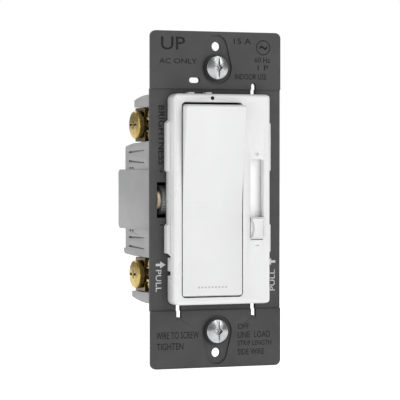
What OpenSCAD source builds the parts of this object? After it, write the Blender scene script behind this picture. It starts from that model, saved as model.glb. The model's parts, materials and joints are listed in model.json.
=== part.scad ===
// Wall dimmer with a rocker switch and a slide control, on a standard mounting strap.
// X runs to the right, Y runs back into the wall and Z runs up.
// The origin lies on the back plane of the strap's ends, midway between the two box screws.

/* [Mounting strap] */
// Width of the strap
strap_w = 44.7; // [42:0.1:60]
// Height of the strap
strap_h = 106.2; // [104:0.1:130]
// Thickness of the strap's sheet
strap_t = 1.4; // [1.1:0.05:2]
// How far the strap's middle is set back from its ends
strap_jog = 0.5; // [0.3:0.05:0.8]
// Height of the set-back middle
strap_mid_h = 69.8; // [68:0.1:76]
// Corner radius of the strap
strap_corner_r = 1.8; // [0.5:0.1:5]
// Distance between the two box screws
box_pitch = 83.34; // [80:0.01:88]
// Distance between the two faceplate screw holes
plate_pitch = 96.84; // [95:0.01:100]
// Radius of the faceplate screw holes
plate_hole_r = 1.45; // [1.1:0.05:1.8]
// Depth of the drop-shaped recess round each pair of holes
recess_d = 0.5; // [0.3:0.05:0.7]

/* [Cover] */
// Width of the cover
cover_w = 33.2; // [27.5:0.1:40]
// Height of the cover
cover_h = 66.2; // [65.5:0.1:68]
// Depth of the cover in front of the strap
cover_d = 5.5; // [5:0.1:8]
// Thickness of the cover's side walls
cover_wall = 1.5; // [1:0.05:2]
// Thickness of the cover's front plate
cover_plate = 2.4; // [2:0.05:2.9]
// Corner radius of the cover
cover_corner_r = 2; // [1:0.1:4]
// Rounding of the cover's front edges
cover_edge_r = 1.2; // [0.3:0.1:1.4]

/* [Rocker] */
// Width of the rocker
rocker_w = 20.35; // [16:0.05:21]
// Height of the rocker
rocker_h = 60.2; // [50:0.1:60.4]
// Side gap between the rocker and its opening
rocker_gap = 0.3; // [0.2:0.05:0.5]
// Swing of the rocker from one side to the other, in degrees
rocker_swing = 6.5; // [4:0.1:7]
// Distance from the rocker's pivot to its face
rocker_rise = 3.8; // [3.6:0.05:4]
// Radius of the rocker's trunnions
trunnion_r = 1; // [0.8:0.05:1.2]

/* [Slider] */
// Width of the slider's slot
slot_w = 4.6; // [4:0.1:5.6]
// Height of the slider's slot
slot_h = 25.44; // [20:0.01:26]
// Height of the slider's knob
knob_h = 7; // [5.5:0.1:8.4]

/* [Housing] */
// Width of the rear housing
housing_w = 42; // [41:0.1:48]
// Depth of the housing's middle behind the strap's ends
housing_d = 29.2; // [28.6:0.1:36]
// Depth of the housing's shoulders
shoulder_d = 23.8; // [23.6:0.1:24]
// Thickness of the housing's walls
wall = 1.5; // [1.2:0.05:1.8]
// Radius of the terminal screws' threads
term_screw_r = 2; // [1.6:0.05:2.5]
// Inward travel of each wire clamp
clamp_travel = 2; // [1.5:0.1:2.2]

/* [Hidden] */

$fn = 48;

// Clearances
turn_gap = 0.06;    // round the pins that turn
slide_gap = 0.15;   // beside what slides
seat_gap = 0.05;    // between what is clipped together
touch_gap = 0.1;    // between what presses together
fit_gap = 0.02;     // round what is pressed in
wire_gap = 0.1;     // round what passes through a wall
eps = 0.01;

// Planes across Y
y_mid = strap_jog - strap_t;       // front of the strap's middle
y_back = strap_jog;                // back of the strap's middle
y_face = y_mid - cover_d;          // front of the cover
y_inside = y_face + cover_plate;   // back of the cover's front plate
y_rim = y_mid - seat_gap;          // rear rim of the cover
y_pivot = y_face + rocker_rise;    // rocker's pivot
y_recess = -strap_t + recess_d;    // floor of the strap's recesses

// Cover and rocker
cover_z = 0.2;
side_margin = 2.55;
tilt = rocker_swing / 2;
open_w = rocker_w + 2 * rocker_gap;
open_end_gap = 0.5;
open_h = rocker_h + 2 * open_end_gap;
open_left = -cover_w / 2 + side_margin;
open_right = open_left + open_w;
rocker_x = open_left + open_w / 2;
bearing_t = 1.4;
bore_r = trunnion_r + turn_gap;
led_z = cover_h / 2 + cover_z - 1.4;
led_r = 0.7;
lens_r = 0.55;
prong_x = 12.9;
prong_w = 1.4;
prong_t = 1.35;
slit_w = 1.65;
slit_end = 36.9;

// Slider
slot_x = cover_w / 2 - 2.5 - slot_w / 2;
knob_end_gap = 0.22;
knob_travel = slot_h - knob_h - 2 * knob_end_gap;
knob_z = -knob_travel / 2;
knob_w = slot_w - 0.2;
shutter_t = 0.8;
y_shutter = y_inside + 0.2;
y_retainer = y_shutter + shutter_t + touch_gap;
retainer_t = 0.6;
shutter_w = slot_w + 1.6;
shutter_h = slot_h + knob_travel + 0.1;
blade_w = 1;
blade_h = 1.6;
fork_wall = 0.4;
fork_w = blade_w + 2 * (slide_gap + fork_wall);
y_fork = y_retainer + retainer_t + 0.2;
y_blade = y_fork + 0.8;

// Housing
block_h = 17.4;       // half height of the block between the terminals
deep_h = 9.5;         // half height of its deep middle
core_x = 15.6;        // half width between the terminals' recesses
ear_z = 29.3;         // inner end of the ears
ear_top = 33.1;
ear_bottom = 32.7;
flange_t = 1.5;
boss_x = 10.6;
boss_z = 27.2;
boss_r = 2.9;
led_lead_x = boss_r + 0.325 - boss_x;   // where the lamp's leads run beside a boss
led_lead_z = 14.4;
case_screw_r = 1.2;
case_head_r = 1.9;
y_case_head = 9;
board_t = 1.6;
y_board = shoulder_d - wall - board_t;
board_w = housing_w - 2 * wall - 2;
board_h = 2 * (block_h - wall) - 0.8;

// Terminals
term_y = 12.6;
term_z = 23.75;
term_h = 10.9;
term_w = 8;
term_t = 0.8;
clamp_x = 19.2;       // inner face of a clamp plate
clamp_t = 1.2;
term_head_r = 4.45;
term_head_t = 2.4;
term_head_edge = 0.9;
cross_arm = 1.5;
cross_half = 0.5;
cross_d = 1.2;
bar_t = 0.8;
bar_z0 = 18.3;
bar_z1 = 20;
y_traveler = 16.6;
y_common = 15.5;

// Switch
switch_x = rocker_x;
cradle_w = 12.1;
cradle_h = 24;
cradle_t = 1.3;
y_cradle = y_back + 0.5;
y_cradle_back = 19;
actuator_w = cradle_w - 2 * cradle_t - 0.6;
y_hub = 2.4;
hub_r = 2;
y_arm = y_pivot + 1.2;     // front of the arms
rib_z = 9;
barrel_r = 2.2;
barrel_bore = 1.5;
y_barrel_floor = 4;
y_barrel_end = 12;
plunger_r = 1.35;
y_seesaw = 14.6;
seesaw_w = 4;
seesaw_h = 14.8;
seesaw_t = 0.7;
seesaw_tilt = 5;
seesaw_pivot_r = 0.4;
contact_z = 6.5;
contact_r = 1.45;
tip_t = 0.5;

// Trim wheel
wheel_r = 4.6;
wheel_y = 4.2;
wheel_x0 = -housing_w / 2 + 1.3;    // outer face of the disc
disc_t = 1;
groove_t = 0.8;
rim_t = 2.4;
wheel_x1 = wheel_x0 + disc_t + groove_t + rim_t;
groove_r = 3.4;
shaft_r = 1;
trim_lead_z = 2.6;
window_h = 11.2;
window_x = -housing_w / 2 + 0.8;

// Box screws
box_screw_r = 1.75;
box_neck_r = 1.5;
box_head_r = 3.65;
washer_t = 0.6;
y_head = y_recess - washer_t;
box_screw_end = 19;

// Slide potentiometer
pot_w = 6.4;
pot_h = 28;
y_pot = 1;
y_pot_back = 9;
pot_skin = 0.6;
y_track = 7.2;
track_t = 1;

// Triac
triac_x = switch_x + 6.075;
triac_w = 10;
triac_z = 13.9;
triac_body_h = 8.5;
triac_tab_h = 5.2;
triac_hole_z = 25.3;
pad_t = 0.2;
tab_t = 1.3;
triac_t = 4.4;

// Corner points of a centred rectangle with round corners
function round_rect(w, h, r, n = 8) = [for (q = [0:3], i = [0:n])
    let (a = 90 * (q + i / n), sx = (q == 0 || q == 3) ? 1 : -1, sz = q < 2 ? 1 : -1)
    [sx * (w / 2 - r) + r * cos(a), sz * (h / 2 - r) + r * sin(a)]];

// Points of an arc about (cy, cz)
function arc(cy, cz, r, a0, a1, n = 16) =
    [for (i = [0:n]) let (a = a0 + (a1 - a0) * i / n) [cy + r * cos(a), cz + r * sin(a)]];

// A flat shape in X and Z, thickened from y0 to y1
module sheet(y0, y1) {
    translate([0, y1, 0]) rotate([90, 0, 0]) linear_extrude(y1 - y0) children();
}

// A flat shape in Y and Z, thickened from x0 to x1
module rib(x0, x1) {
    translate([x0, 0, 0]) rotate([90, 0, 90]) linear_extrude(x1 - x0) children();
}

// A box between two corners
module box(lo, hi) {
    translate(lo) cube(hi - lo);
}

// Rods along Y, X and Z
module rod_y(x, z, y0, y1, r) {
    translate([x, y1, z]) rotate([90, 0, 0]) cylinder(h = y1 - y0, r = r);
}

module rod_x(y, z, x0, x1, r) {
    translate([x0, y, z]) rotate([0, 90, 0]) cylinder(h = x1 - x0, r = r);
}

module rod_z(x, y, z0, z1, r) {
    translate([x, y, z0]) cylinder(h = z1 - z0, r = r);
}

// Turned about a line along X through (y, 0)
module turned(y, angle) {
    translate([0, y, 0]) rotate([angle, 0, 0]) translate([0, -y, 0]) children();
}

// Puts its children on the upper or lower, left or right terminal
module on_side(right, lower) {
    mirror([right ? 1 : 0, 0, 0]) mirror([0, 0, lower ? 1 : 0]) children();
}

// Drop shape round a box screw and its faceplate hole
module drop_outline(big_r, small_r) {
    z0 = box_pitch / 2;
    z1 = plate_pitch / 2;
    a = asin((big_r - small_r) / (z1 - z0));
    translate([0, z0]) circle(big_r);
    translate([0, z1]) circle(small_r);
    polygon([[-big_r * cos(a), z0 + big_r * sin(a)], [-small_r * cos(a), z1 + small_r * sin(a)],
        [small_r * cos(a), z1 + small_r * sin(a)], [big_r * cos(a), z0 + big_r * sin(a)]]);
}

// Upright slot with round ends
module slot_outline(x, z0, z1, w) {
    translate([x, (z0 + z1) / 2]) polygon(round_rect(w, z1 - z0, w / 2 - 0.01));
}

// Places the four housing screws
module at_case_screws() {
    for (sx = [-1, 1], sz = [-1, 1]) translate([sx * boss_x, 0, sz * boss_z]) children();
}

// Places the latches: two below and one above
module at_prongs() {
    for (p = [[-1, -1], [1, -1], [1, 1]])
        translate([p[0] * prong_x, 0, cover_z]) mirror([0, 0, p[1] < 0 ? 1 : 0]) children();
}

// A swept wire of six sides along a helix about Y
module helix(r, wire_r, y0, y1, turns) {
    steps = 14;
    sides = 6;
    n = steps * turns;
    function spot(i, k) = let (a = 360 * i / steps, b = 360 * k / sides, rr = r + wire_r * cos(b))
        [rr * cos(a), y0 + (y1 - y0) * i / n + wire_r * sin(b), rr * sin(a)];
    points = [for (i = [0:n], k = [0:sides - 1]) spot(i, k)];
    walls = [for (i = [0:n - 1], k = [0:sides - 1])
        let (k2 = (k + 1) % sides)
        [i * sides + k, i * sides + k2, (i + 1) * sides + k2, (i + 1) * sides + k]];
    polyhedron(points, concat(walls,
        [[for (k = [sides - 1:-1:0]) k]], [[for (k = [0:sides - 1]) n * sides + k]]));
}

// ---- Strap and housing ----

module mounting_strap() {
    end_z = strap_mid_h / 2;
    color("#57585a") difference() {
        union() {
            intersection() {
                sheet(-strap_t, 0) polygon(round_rect(strap_w, strap_h, strap_corner_r));
                for (s = [0, 1]) mirror([0, 0, s])
                    box([-strap_w, -strap_t, end_z - eps], [strap_w, 0, strap_h]);
            }
            box([-strap_w / 2, y_mid, -end_z], [strap_w / 2, y_back, end_z]);
        }
        for (s = [0, 1]) mirror([0, 0, s]) {
            sheet(-strap_t - eps, y_recess) drop_outline(5.2, 3.6);
            sheet(-strap_t - 1, 1) translate([0, box_pitch / 2])
                polygon(round_rect(7.4, 2 * box_screw_r + 0.5, box_screw_r + 0.24));
            rod_y(0, plate_pitch / 2, -strap_t - 1, 1, plate_hole_r);
        }
        // slot above the cover and the slits for the cover's latches
        sheet(-strap_t - 1, 1) translate([-7.55, 37.65]) polygon(round_rect(3.7, 1.7, 0.84));
        sheet(-strap_t - 1, 1) for (p = [[-1, -1], [1, -1], [1, 1]])
            slot_outline(p[0] * prong_x, p[1] * 30.6, p[1] * slit_end, slit_w);
        // window of the trim wheel, opening of the switch and slot of the slider
        box([window_x, y_mid - 1, -window_h / 2], [wheel_x1 + 1, 1, window_h / 2]);
        box([switch_x - actuator_w / 2 - 0.4, y_mid - 1, -11.5], [switch_x + actuator_w / 2 + 0.4, 1, 11.5]);
        sheet(y_mid - 1, 1) slot_outline(slot_x, knob_z - 3, -knob_z + 3, fork_w + 0.6);
        rod_y(rocker_x, led_z, y_mid - 1, 1, led_r + 0.2);
        rod_y(triac_x, triac_hole_z, y_mid - 1, 1, 1.5);
        at_case_screws() rod_y(0, 0, y_mid - 1, 1, case_screw_r + fit_gap);
    }
}

// Side outline of the block between the terminals, in Y and Z
function block_outline() = let (s = shoulder_d, d = housing_d, b = block_h, m = deep_h, r = 1)
    [[y_back, -b - 0.9], [17, -b - 0.7], [s + 0.6, -b - 0.2], [s + 1.6, -b + 0.9], [s + 1.3, -b + 1.7],
     [s, -b + 1.7], [s, -m], [d - r, -m], [d, -m + r], [d, m - r], [d - r, m], [s, m],
     [s, b - 1.1], [s - 0.6, b - 0.4], [17, b + 0.5], [y_back, b + 1.2]];

// Outline of an ear, in Y and Z: a flat foot and an end that falls away in a long arc
function ear_outline(end_z, depth, flat = 4, drop = 1.6) =
    let (run = depth - flat, r = (run * run + drop * drop) / (2 * drop))
    concat([[y_back, ear_z], [depth, ear_z]],
        arc(flat, end_z - r, r, 90 - asin(run / r), 90), [[y_back, end_z]]);

module rear_housing() {
    hx = housing_w / 2;
    in_x = hx - wall;
    difference() {
        color("#9a9b9c") union() {
            rib(-hx, hx) polygon(block_outline());
            intersection() {
                rib(-hx - 0.3, hx + 0.3) polygon(block_outline());
                box([-hx - 1, y_back, -deep_h], [hx + 1, housing_d, deep_h]);
            }
            box([-core_x, y_back, -ear_z - eps], [core_x, shoulder_d, ear_z + eps]);
            rib(-hx, hx) polygon(ear_outline(ear_top, 16));
            mirror([0, 0, 1]) rib(-hx, hx) polygon(ear_outline(ear_bottom, 18.1));
            box([-hx, y_back, -ear_z - eps], [hx, y_back + flange_t, ear_z + eps]);
        }
        // hollow of the block and of the core, with the bosses left standing
        difference() {
            union() {
                box([-in_x, y_back - eps, wall - block_h], [in_x, shoulder_d - wall, block_h - wall]);
                box([-in_x, y_back, wall - deep_h], [in_x, housing_d - wall, deep_h - wall]);
                box([wall - core_x, y_back - eps, wall - ear_z],
                    [core_x - wall, shoulder_d - wall, ear_z - wall]);
            }
            at_case_screws() rod_y(0, 0, y_back + 0.4, shoulder_d, boss_r);
        }
        at_case_screws() {
            rod_y(0, 0, y_case_head, shoulder_d + 1, case_head_r + 0.1);
            rod_y(0, 0, 0, y_case_head + 1, case_screw_r + 0.05);
        }
        // pocket beside the trim wheel
        box([window_x, y_back - eps, -window_h / 2], [0, wheel_y + wheel_r + 0.6, window_h / 2]);
        // holes for the terminal screws and slots for their bars
        for (right = [0, 1], lower = [0, 1]) on_side(right, lower) {
            rod_x(term_y, term_z, -core_x - 1, wall - core_x + 1, term_screw_r + 0.3);
            if (!right) box([-core_x - 1, y_traveler - wire_gap, bar_z0 - wire_gap],
                [wall - core_x + 1, y_traveler + bar_t + wire_gap, bar_z1 + wire_gap]);
        }
        box([core_x - wall - 1, y_common - wire_gap, bar_z0 - wire_gap],
            [core_x + 1, y_common + bar_t + wire_gap, bar_z1 + wire_gap]);
        // slot in the flange for the ground tab's foot
        box([core_x - eps, 0, -26.6], [core_x + term_t + 0.5, y_back + flange_t + 1, -20.9]);
        // vent grooves and catches in the sides
        for (s = [0, 1]) mirror([s, 0, 0]) {
            for (v = [[15, 0.6], [12.2, -0.5], [-12.2, 0.1], [-15, -0.6]]) rib(-hx - 1, 0.7 - hx)
                polygon([[7.8, v[0] + v[1] - 0.12], [20.8, v[0] - 0.35], [20.8, v[0] + 0.35],
                    [7.8, v[0] + v[1] + 0.12]]);
            for (z = [-5.3, -1.75, 1.8, 5.35])
                box([-hx - 1, y_back - eps, z - 0.65], [0.5 - hx, 2, z + 0.65]);
            for (z = [-10, 10], y = [16.8, 18.8]) box([-hx - 1, y, z - 0.3], [0.5 - hx, y + 1.3, z + 0.3]);
        }
        // pockets for the locator's lamp and for the latches
        rod_y(rocker_x, led_z, 0, 7.4, led_r + 0.1);
        box([led_lead_x - 0.7, 5.9, led_z - 0.4], [rocker_x + 0.9, 7.2, led_z + 0.4]);
        box([led_lead_x - 0.7, 5.9, 20], [led_lead_x + 0.7, 7.2, led_z + 0.4]);
        at_prongs() box([-prong_w / 2 - 0.3, 0, cover_h / 2 - prong_t - 0.5],
            [prong_w / 2 + 0.3, y_back + 1.5, cover_h / 2 + 2]);
    }
}

module insulator_sheet() {
    w = 2 * (core_x - wall) - 0.4;
    h = 2 * (ear_z - wall) - 0.4;
    color("#2b2b2d") difference() {
        box([-w / 2, y_back, -h / 2], [w / 2, y_back + 0.3, h / 2]);
        box([switch_x - cradle_w / 2, 0, -cradle_h / 2], [switch_x + cradle_w / 2, 2, cradle_h / 2]);
        sheet(0, 2) slot_outline(slot_x, knob_z - 3, -knob_z + 3, fork_w + 0.6);
        box([triac_x - triac_w / 2 - 0.3, 0, triac_z - 0.4], [triac_x + triac_w / 2 + 0.3, 2, h]);
        at_case_screws() rod_y(0, 0, 0, 2, case_screw_r + 0.3);
        box([-w, 0, -window_h / 2], [wheel_x1 + 1, 2, window_h / 2]);
    }
}

module housing_screws() {
    color("#b9bab6") at_case_screws() difference() {
        union() {
            rod_y(0, 0, y_mid, y_case_head + eps, case_screw_r);
            rod_y(0, 0, y_case_head, y_case_head + 1.6, case_head_r);
        }
        for (a = [0, 90]) rotate([0, a, 0])
            box([-1.3, y_case_head + 0.8, -0.25], [1.3, y_case_head + 3, 0.25]);
    }
}

module ground_tab() {
    color("#8f9297") difference() {
        union() {
            box([core_x, y_back + flange_t, -term_z - term_h / 2],
                [core_x + term_t, term_y + term_w / 2, -bar_z0]);
            box([core_x, y_back, -26.5], [core_x + term_t, y_back + flange_t + eps, -21]);
        }
        rod_x(term_y, -term_z, core_x - 1, core_x + 3, term_screw_r + turn_gap);
    }
}

// ---- Board and what stands on it ----

module circuit_board() {
    color("#3c6b45") difference() {
        box([-board_w / 2, y_board, -board_h / 2], [board_w / 2, y_board + board_t, board_h / 2]);
        for (sx = [-1, 1], sz = [-1, 1]) rod_y(sx * (board_w / 2 - 2.2), sz * (board_h / 2 - 2.2),
            y_board - 1, y_board + board_t + 1, 1.1);
    }
}

module triac_outline() {
    translate([triac_x - triac_w / 2, triac_z]) square([triac_w, triac_body_h + triac_tab_h]);
}

module triac_pad() {
    color("#c9c7b8") difference() {
        sheet(y_back, y_back + pad_t) triac_outline();
        rod_y(triac_x, triac_hole_z, 0, 2, 1.55);
    }
}

module triac() {
    y0 = y_back + pad_t;
    color("#26272a") difference() {
        union() {
            sheet(y0, y0 + tab_t) triac_outline();
            box([triac_x - triac_w / 2, y0 + tab_t - eps, triac_z],
                [triac_x + triac_w / 2, y0 + triac_t, triac_z + triac_body_h]);
            for (k = [-1:1]) {
                box([triac_x + 2.5 * k - 0.4, y0 + 2.6, triac_z - 1],
                    [triac_x + 2.5 * k + 0.4, y0 + 3.1, triac_z + eps]);
                box([triac_x + 2.5 * k - 0.4, y0 + 2.6, triac_z - 1],
                    [triac_x + 2.5 * k + 0.4, y_board, triac_z - 0.5]);
            }
        }
        rod_y(triac_x, triac_hole_z, 0, 4, 1.55);
    }
}

module triac_rivet() {
    color("#c4c6c8") {
        rod_y(triac_x, triac_hole_z, y_mid - 0.5, y_mid, 2.4);
        rod_y(triac_x, triac_hole_z, y_mid - eps, y_back + pad_t + tab_t + eps, 1.5 - fit_gap);
        rod_y(triac_x, triac_hole_z, y_back + pad_t + tab_t, y_back + pad_t + tab_t + 0.7, 2.4);
    }
}

choke_x = 11;
choke_r = 6.2;
choke_bore = 2.9;
choke_t = 3.6;
y_choke = y_board + board_t + 0.9;

module choke_core() {
    color("#3d4044") difference() {
        rod_y(choke_x, 0, y_choke, y_choke + choke_t, choke_r);
        rod_y(choke_x, 0, y_choke - 1, y_choke + choke_t + 1, choke_bore);
    }
}

module choke_winding() {
    turns = 22;
    wire = 0.6;
    color("#b3682f") difference() {
        for (i = [0:turns - 1]) translate([choke_x, 0, 0]) rotate([0, 360 * (i + 0.5) / turns, 0])
            box([choke_bore - wire, y_choke - wire, -0.38], [choke_r + wire, y_choke + choke_t + wire, 0.38]);
        rod_y(choke_x, 0, y_choke - fit_gap, y_choke + choke_t + fit_gap, choke_r + fit_gap);
    }
    color("#b3682f") for (s = [-1, 1])
        rod_y(choke_x + s * (choke_r + 0.35), 0, y_board + board_t, y_choke, 0.3);
    color("#b3682f") difference() {
        rod_y(choke_x, 0, y_choke - wire, y_choke + choke_t + wire, choke_bore - fit_gap);
        rod_y(choke_x, 0, y_choke - 2, y_choke + choke_t + 2, choke_bore - wire);
    }
}

// A boxed capacitor with two short leads
module boxed_capacitor(lo, hi, lead_y0, lead_y1) {
    mid_x = (lo[0] + hi[0]) / 2;
    third = (hi[2] - lo[2]) / 3;
    box(lo, hi);
    for (s = [-1, 1]) rod_y(mid_x, (lo[2] + hi[2]) / 2 + s * third, lead_y0, lead_y1, 0.35);
}

module film_capacitor_large() {
    y0 = y_board + board_t;
    color("#b8442f") boxed_capacitor([-16.6, y0 + 0.4, -7], [1.6, y0 + 5, 7], y0, y0 + 0.4 + eps);
}

module film_capacitor_small() {
    x0 = 1.5 + wall - housing_w / 2;
    x1 = min(x0 + 5.2, switch_x - cradle_w / 2 - 0.3);
    y1 = y_board - 0.4;
    color("#c98f2d") boxed_capacitor([x0, y1 - 5.9, -13.8], [x1, y1, -7.6], y1 - eps, y_board);
}

module diac() {
    color("#3f62a8") {
        rod_z(17.4, y_board - 1.4, 6, 10, 0.95);
        for (z = [5.2, 10.8]) rod_y(17.4, z, y_board - 1.4, y_board, 0.25);
        rod_z(17.4, y_board - 1.4, 5.2, 10.8, 0.25);
    }
}

module resistors() {
    lift = 1.5;
    edge = board_w / 2;
    over_trimmer = trim_lead_z + 5.2;
    color("#c8ab7f") for (p = [[edge - 1.1, -8], [1.3 - edge, over_trimmer], [4.3 - edge, over_trimmer]])
        translate([p[0], y_board - lift, p[1]]) {
            rod_z(0, 0, -3.1, 3.1, 1.1);
            rod_z(0, 0, -4.4, 4.4, 0.3);
            for (z = [-4.4, 4.4]) rod_y(0, z, 0, lift, 0.3);
        }
}

// ---- Switch ----

module switch_cradle() {
    x0 = switch_x - cradle_w / 2;
    x1 = switch_x + cradle_w / 2;
    hz = cradle_h / 2;
    color("#d8d6cf") difference() {
        box([x0, y_cradle, -hz], [x1, y_cradle_back, hz]);
        box([x0 + cradle_t, 0, cradle_t - hz], [x1 - cradle_t, y_traveler + bar_t, hz - cradle_t]);
        rod_x(y_hub, 0, x0 - 1, x1 + 1, 1.1 + turn_gap);
        // ways in for the three bars
        for (s = [0, 1]) mirror([0, 0, s])
            box([switch_x - seesaw_w / 2 - wire_gap, y_traveler - wire_gap, 4],
                [switch_x + seesaw_w / 2 + wire_gap, y_traveler + bar_t, hz + 1]);
        box([switch_x, y_common - wire_gap, -1.5 - wire_gap],
            [x1 + 1, y_common + bar_t + wire_gap, 1.5 + wire_gap]);
        // lightening windows beside the actuator
        for (sz = [-1, 1]) box([x0 - 1, 7, sz * 6.5 - 3], [x1 + 1, 13, sz * 6.5 + 3]);
    }
    color("#d8d6cf") for (s = [-1, 1]) box([-4 + switch_x, y_cradle_back - eps, s * 7 - 1],
        [switch_x + 4, y_board, s * 7 + 1]);
}

module switch_actuator() {
    w = actuator_w;
    color("#e9e6dc") turned(y_hub, tilt) difference() {
        union() {
            rod_x(y_hub, 0, switch_x - w / 2, switch_x + w / 2, hub_r);
            rod_x(y_hub, 0, switch_x - cradle_w / 2 + 0.1, switch_x + cradle_w / 2 - 0.1, 1.1);
            box([switch_x - w / 2, y_arm, -10], [switch_x + w / 2, y_arm + 1.2, 10]);
            box([switch_x - w / 2, y_arm + 1, -1.6], [switch_x + w / 2, y_hub, 1.6]);
            rod_y(switch_x, 0, y_hub, y_barrel_end, barrel_r);
        }
        rod_y(switch_x, 0, y_barrel_floor, y_barrel_end + 1, barrel_bore);
    }
}

module contact_spring() {
    color("#b9bcc0") turned(y_hub, tilt) translate([switch_x, 0, 0])
        helix(1.1, 0.2, y_barrel_floor + 0.25, 9.2, 6);
}

module contact_plunger() {
    color("#e4dfd0") turned(y_hub, tilt) {
        rod_y(switch_x, 0, 9.5, 13.1, plunger_r);
        translate([switch_x, 12.8, 0]) sphere(1.3);
    }
}

module seesaw_contact() {
    x0 = switch_x - seesaw_w / 2;
    color("#b58a4a") turned(y_seesaw, -seesaw_tilt) {
        box([x0, y_seesaw - seesaw_t / 2, -seesaw_h / 2],
            [x0 + seesaw_w, y_seesaw + seesaw_t / 2, seesaw_h / 2]);
        rod_x(y_seesaw, 0, x0, x0 + seesaw_w, seesaw_pivot_r);
    }
}

module seesaw_tips() {
    y0 = y_seesaw + seesaw_t / 2;
    color("#d5d7da") turned(y_seesaw, -seesaw_tilt) for (s = [-1, 1])
        rod_y(switch_x, s * (contact_z - 0.4), y0, y0 + tip_t, contact_r);
}

module fixed_contacts() {
    color("#d5d7da") for (s = [-1, 1])
        rod_y(switch_x, s * contact_z, y_traveler - 0.45, y_traveler, contact_r + 0.1);
}

// Terminal plate with its threaded hole, on the upper left
module terminal_plate(y_end) {
    difference() {
        box([-core_x - term_t, term_y - term_w / 2, term_z - term_h / 2],
            [-core_x, y_end, term_z + term_h / 2]);
        rod_x(term_y, term_z, -core_x - 3, -core_x + 1, term_screw_r + turn_gap);
    }
}

module traveler_bar() {
    terminal_plate(y_traveler + bar_t);
    box([-core_x - eps, y_traveler, bar_z0], [switch_x + seesaw_w / 2, y_traveler + bar_t, bar_z1]);
    box([switch_x - seesaw_w / 2, y_traveler, 4.2], [switch_x + seesaw_w / 2, y_traveler + bar_t, bar_z1]);
}

module common_bar() {
    leg_x = triac_x + 3.7;
    color("#b98d48") {
        on_side(true, false) terminal_plate(y_common + bar_t);
        box([leg_x, y_common, bar_z0], [core_x + eps, y_common + bar_t, bar_z1]);
        box([leg_x, y_common, -1.5], [leg_x + 2.2, y_common + bar_t, bar_z1]);
        box([switch_x - seesaw_w / 2, y_common, -1.5], [leg_x + 2.2, y_common + bar_t, 1.5]);
        rod_x(y_common, 0, switch_x - seesaw_w / 2, switch_x + seesaw_w / 2, 0.42);
    }
}

module locator_led() {
    color("#f2f4f4") {
        rod_y(rocker_x, led_z, y_rim + touch_gap + led_r, 4, led_r);
        translate([rocker_x, y_rim + touch_gap + led_r, led_z]) sphere(led_r);
        for (s = [-1, 1]) {
            x = rocker_x + 0.35 * s;
            x2 = led_lead_x + 0.35 * s;
            y = 6.5 + 0.3 * s;
            rod_y(x, led_z, 4 - eps, y, 0.15);
            rod_x(y, led_z, min(x, x2), max(x, x2), 0.15);
            rod_z(x2, y, led_lead_z, led_z, 0.15);
            rod_y(x2, led_lead_z, y, y_board, 0.15);
            for (p = [[x, y, led_z], [x2, y, led_z], [x2, y, led_lead_z]]) translate(p) sphere(0.15);
        }
    }
}

// ---- Slide potentiometer ----

module slide_pot_shell() {
    color("#a9acb0") difference() {
        box([slot_x - pot_w / 2, y_pot, -pot_h / 2], [slot_x + pot_w / 2, y_pot_back, pot_h / 2]);
        box([slot_x - pot_w / 2 + pot_skin, y_pot + pot_skin, pot_skin - pot_h / 2],
            [slot_x + pot_w / 2 - pot_skin, y_pot_back + 1, pot_h / 2 - pot_skin]);
        sheet(0, y_pot + 1) slot_outline(slot_x, knob_z - 3, -knob_z + 3, fork_w + 0.6);
    }
}

module slide_pot_track() {
    w = pot_w - 2 * pot_skin;
    color("#6b4a2c") box([slot_x - w / 2, y_track, pot_skin - pot_h / 2],
        [slot_x + w / 2, y_track + track_t, pot_h / 2 - pot_skin]);
    color("#c8cacc") for (z = [-12, -9, 12]) rod_y(slot_x, z, y_track + track_t - eps, y_board, 0.4);
}

module slide_pot_carriage() {
    y0 = y_pot + pot_skin + 0.8;
    color("#3a3b3e") translate([slot_x, 0, knob_z]) difference() {
        union() {
            box([-pot_w / 2 + pot_skin + 0.2, y0, -3.2], [pot_w / 2 - pot_skin - 0.2, y0 + 2, 3.2]);
            box([-fork_w / 2, y_fork, -2], [fork_w / 2, y0 + eps, 2]);
        }
        box([-blade_w / 2 - slide_gap, y_fork - 1, -blade_h / 2 - slide_gap],
            [blade_w / 2 + slide_gap, y_blade + 0.4, blade_h / 2 + slide_gap]);
    }
}

module slide_pot_wiper() {
    y0 = y_pot + pot_skin + 2.8;
    color("#b98d48") translate([slot_x, 0, knob_z]) for (s = [-1, 1]) {
        box([s * 1.3 - 0.6, y0, -2.4], [s * 1.3 + 0.6, y0 + 0.3, 2.4]);
        rib(s * 1.3 - 0.3, s * 1.3 + 0.3) polygon([[y0 + 0.3 - eps, -2.2], [y0 + 0.3 - eps, -1.6],
            [y_track - touch_gap, 2.2], [y_track - touch_gap, 1.6]]);
    }
}

// ---- Trim wheel ----

module trim_pot_body() {
    x0 = wheel_x1 + 0.3;
    x1 = switch_x - cradle_w / 2 - 0.9;
    color("#2f5f9e") difference() {
        box([x0, y_back + 0.4, -4.4], [x1, 7.6, 4.4]);
        rod_x(wheel_y, 0, x0 - 1, x1 - 0.8, shaft_r + turn_gap);
    }
    color("#c8cacc") for (z = [-trim_lead_z, 0, trim_lead_z])
        rod_y((x0 + x1) / 2, z, 7.6 - eps, y_board, 0.3);
}

module trim_wheel() {
    x0 = wheel_x0 + disc_t;
    teeth = 30;
    color("#8d8f92") difference() {
        union() {
            rod_x(wheel_y, 0, x0, x0 + groove_t + eps, groove_r);
            rod_x(wheel_y, 0, x0 + groove_t, wheel_x1, wheel_r);
        }
        rod_x(wheel_y, 0, x0 - 1, wheel_x1 + 1, shaft_r + fit_gap);
        for (i = [0:teeth - 1]) translate([0, wheel_y, 0]) rotate([360 * i / teeth, 0, 0])
            box([x0 + groove_t - eps, wheel_r - 0.25, -0.2], [wheel_x1 + 1, wheel_r + 1, 0.2]);
    }
}

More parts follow.
